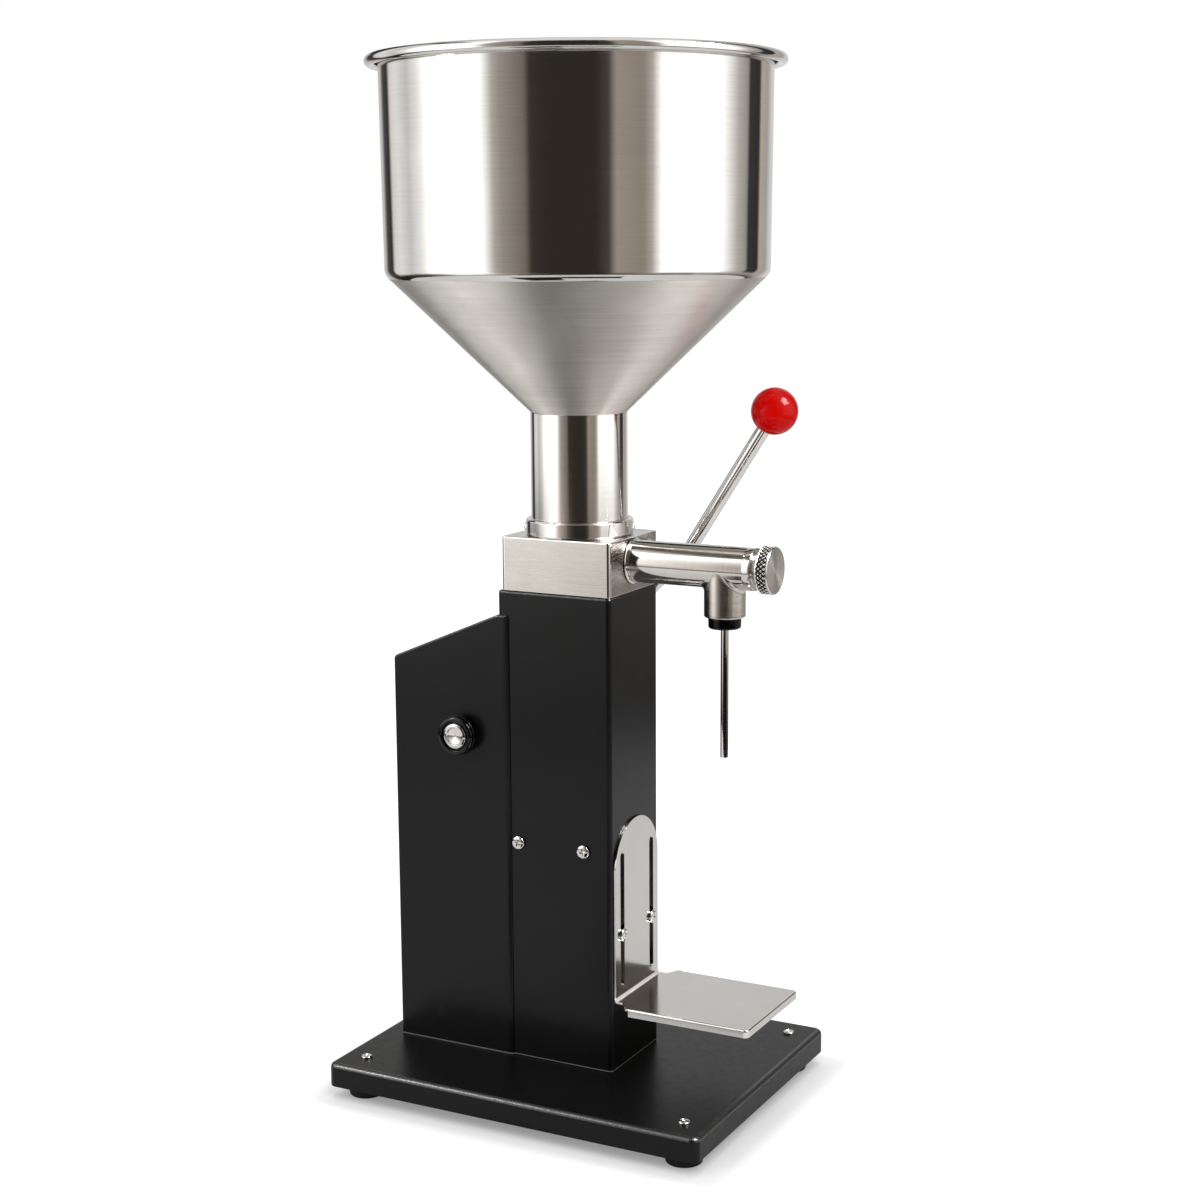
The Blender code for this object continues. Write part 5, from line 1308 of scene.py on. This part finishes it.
def studio_wall(facing):
    """Soft walls round the machine: white light walls to both sides and dark gaps between them, so
    that the steel shows its bright and dark bands."""
    bm = bmesh.new()
    radius, height, sides = 1.2, 2.5, 96
    fill_between(bm, [[bm.verts.new(point) for point in circle(radius, z, sides)] for z in (0, height)])
    wall = piece_from("studio_wall", bm)
    wall.rotation_euler = (0, 0, facing)
    wall.location = hopper_axis

    def banded(tree):
        x, y, z = add_node(tree, "ShaderNodeSeparateXYZ", {0: on_piece(tree)}, None).outputs
        share = spread(tree, maths(tree, "ARCTAN2", y, x), 0, 1, -math.pi, math.pi)
        foot, eye = bands(tree, share, STUDIO_FOOT), bands(tree, share, STUDIO_BANDS)
        rise = spread(tree, z, 0, 1, 0.22, 0.38)
        colour = add_node(tree, "ShaderNodeMix", {0: rise, 6: foot, 7: eye}, 2, data_type="RGBA")
        return colour, spread(tree, z, 0.05, 1.75, 0.0, 0.20)

    light_only_steel(wall, "_light", banded, None)


def card(name, place, aim, width, height, colour=BLACK_CLOTH, brightness=1.0):
    """A card that shows in the steel as a streak: black cloth, or a bright panel."""
    bm = bmesh.new()
    corners = [(x * width / 2, y * height / 2, 0) for x, y in ((-1, -1), (1, -1), (1, 1), (-1, 1))]
    bm.faces.new([bm.verts.new(corner) for corner in corners])
    panel = piece_from(name, bm)
    panel.location = place
    panel.rotation_euler = (Vector(aim) - Vector(place)).to_track_quat("Z", "Y").to_euler()
    light_only_steel(panel, "_cloth", linear(colour), brightness)


def floor_cloth(name, facing, start, end, near, far, rise=0.002):
    """Black cloth on the floor, from one angle and distance to another, for the steel to show."""
    steps = 24
    bm = bmesh.new()
    angles = [facing + math.radians(start + (end - start) * i / steps) for i in range(steps + 1)]
    inner, outer = (
        [bm.verts.new((r * math.cos(a), axis_y + r * math.sin(a), z)) for a in angles]
        for r, z in ((near, 0.002), (far, rise))
    )
    for i in range(steps):
        bm.faces.new((inner[i], inner[i + 1], outer[i + 1], outer[i]))
    light_only_steel(piece_from(name, bm), "_cloth", linear(BLACK_CLOTH), 1.0)


def towards(facing, degrees, elevation, distance, height):
    """A place in the studio: degrees round from the camera's side, and degrees up from a height."""
    angle = facing + math.radians(degrees)
    up = math.radians(elevation)
    flat = distance * math.cos(up)
    return (flat * math.cos(angle), axis_y + flat * math.sin(angle), height + distance * math.sin(up))


def studio_air():
    """White to the camera and to shiny steel, and a soft grey light from all round for the rest."""
    world = bpy.data.worlds.new("studio_air")
    bpy.context.scene.world = world
    world.use_nodes = True
    tree = world.node_tree
    tree.nodes.clear()
    path = ray_kinds(tree)
    first = maths(tree, "ADD", path["Is Camera Ray"], path["Is Glossy Ray"])
    white = maths(tree, "ADD", first, path["Is Transmission Ray"], use_clamp=True)
    strength = spread(tree, white, 0.62, 1.0, 0, 1)
    air = add_node(tree, "ShaderNodeBackground", {"Strength": strength, "Color": (1, 1, 1, 1)})
    add_node(tree, "ShaderNodeOutputWorld", {"Surface": air}, None)


def softbox(name, place, aim, width, height, power):
    lamp = bpy.data.lights.new(name, "AREA")
    set_all(lamp, {"shape": "RECTANGLE", "size": width, "size_y": height, "energy": power})
    holder = add_piece(name, lamp)
    holder.location = place
    holder.rotation_euler = (Vector(aim) - Vector(place)).to_track_quat("-Z", "Y").to_euler()
    holder.visible_glossy = False


def add_camera():
    """Level with the valve block, in front of the machine's left side, as in the photograph."""
    view = bpy.data.cameras.new("camera")
    set_all(view, {"lens": 63.595, "sensor_width": 36, "clip_start": 0.05})
    camera = add_piece("camera", view)
    camera.location = (-1.42064, -0.76371, 0.67127)
    forward = Vector((0.87209, 0.45855, -0.17084))
    lean = Matrix.Rotation(math.radians(0.352), 3, forward)
    camera.rotation_euler = (lean @ forward.to_track_quat("-Z", "Y").to_matrix()).to_euler()
    bpy.context.scene.camera = camera
    return camera


camera = add_camera()
studio_floor()
facing = math.atan2(camera.location.y - axis_y, camera.location.x)
studio_wall(facing)
floor_cloth("front_cloth", facing, -12, 30, 0.50, 0.75)
floor_cloth("left_cloth", facing, -45, -12, 0.28, 0.72)
floor_cloth("side_cloth", facing, -90, -10, 0.12, 0.135)
floor_cloth("rear_cloth", facing, 150, 210, 0.28, 0.75)
floor_cloth("hung_cloth", facing, -35, 72, 1.14, 1.16, 0.15)
tube_middle = (0, (tube_low.y + tube_high.y) / 2, outlet_z)
card("ceiling_flag", towards(facing, -94, 62, 1.1, outlet_z), tube_middle, 0.5, 0.10)
card("rear_flag", towards(facing, -172, 42, 1.1, outlet_z), tube_middle, 0.9, 0.30)
ball_middle = (ball_low + ball_high) / 2
for name, degrees, elevation, width, height, brightness in (
    ("right_panel", 68, 39, 0.46, 0.50, 40),
    ("left_panel", -74, 19, 0.20, 0.44, 14),
):
    place = towards(facing, degrees, elevation, 1.1, ball_middle.z)
    card(name, place, ball_middle, width, height, WHITE_PANEL, brightness)
studio_air()
softbox("key_softbox", (-1.3, -1.5, 2.0), (0, 0, 0.3), 1.4, 1.4, 18)
softbox("side_softbox", (-1.9, 1.0, 1.3), (0, 0, 0.4), 1.2, 1.6, 8)
softbox("top_softbox", (0.3, 0.0, 2.4), (0, 0, 0.3), 1.6, 1.6, 12)

bpy.context.scene.view_settings.view_transform = "Standard"
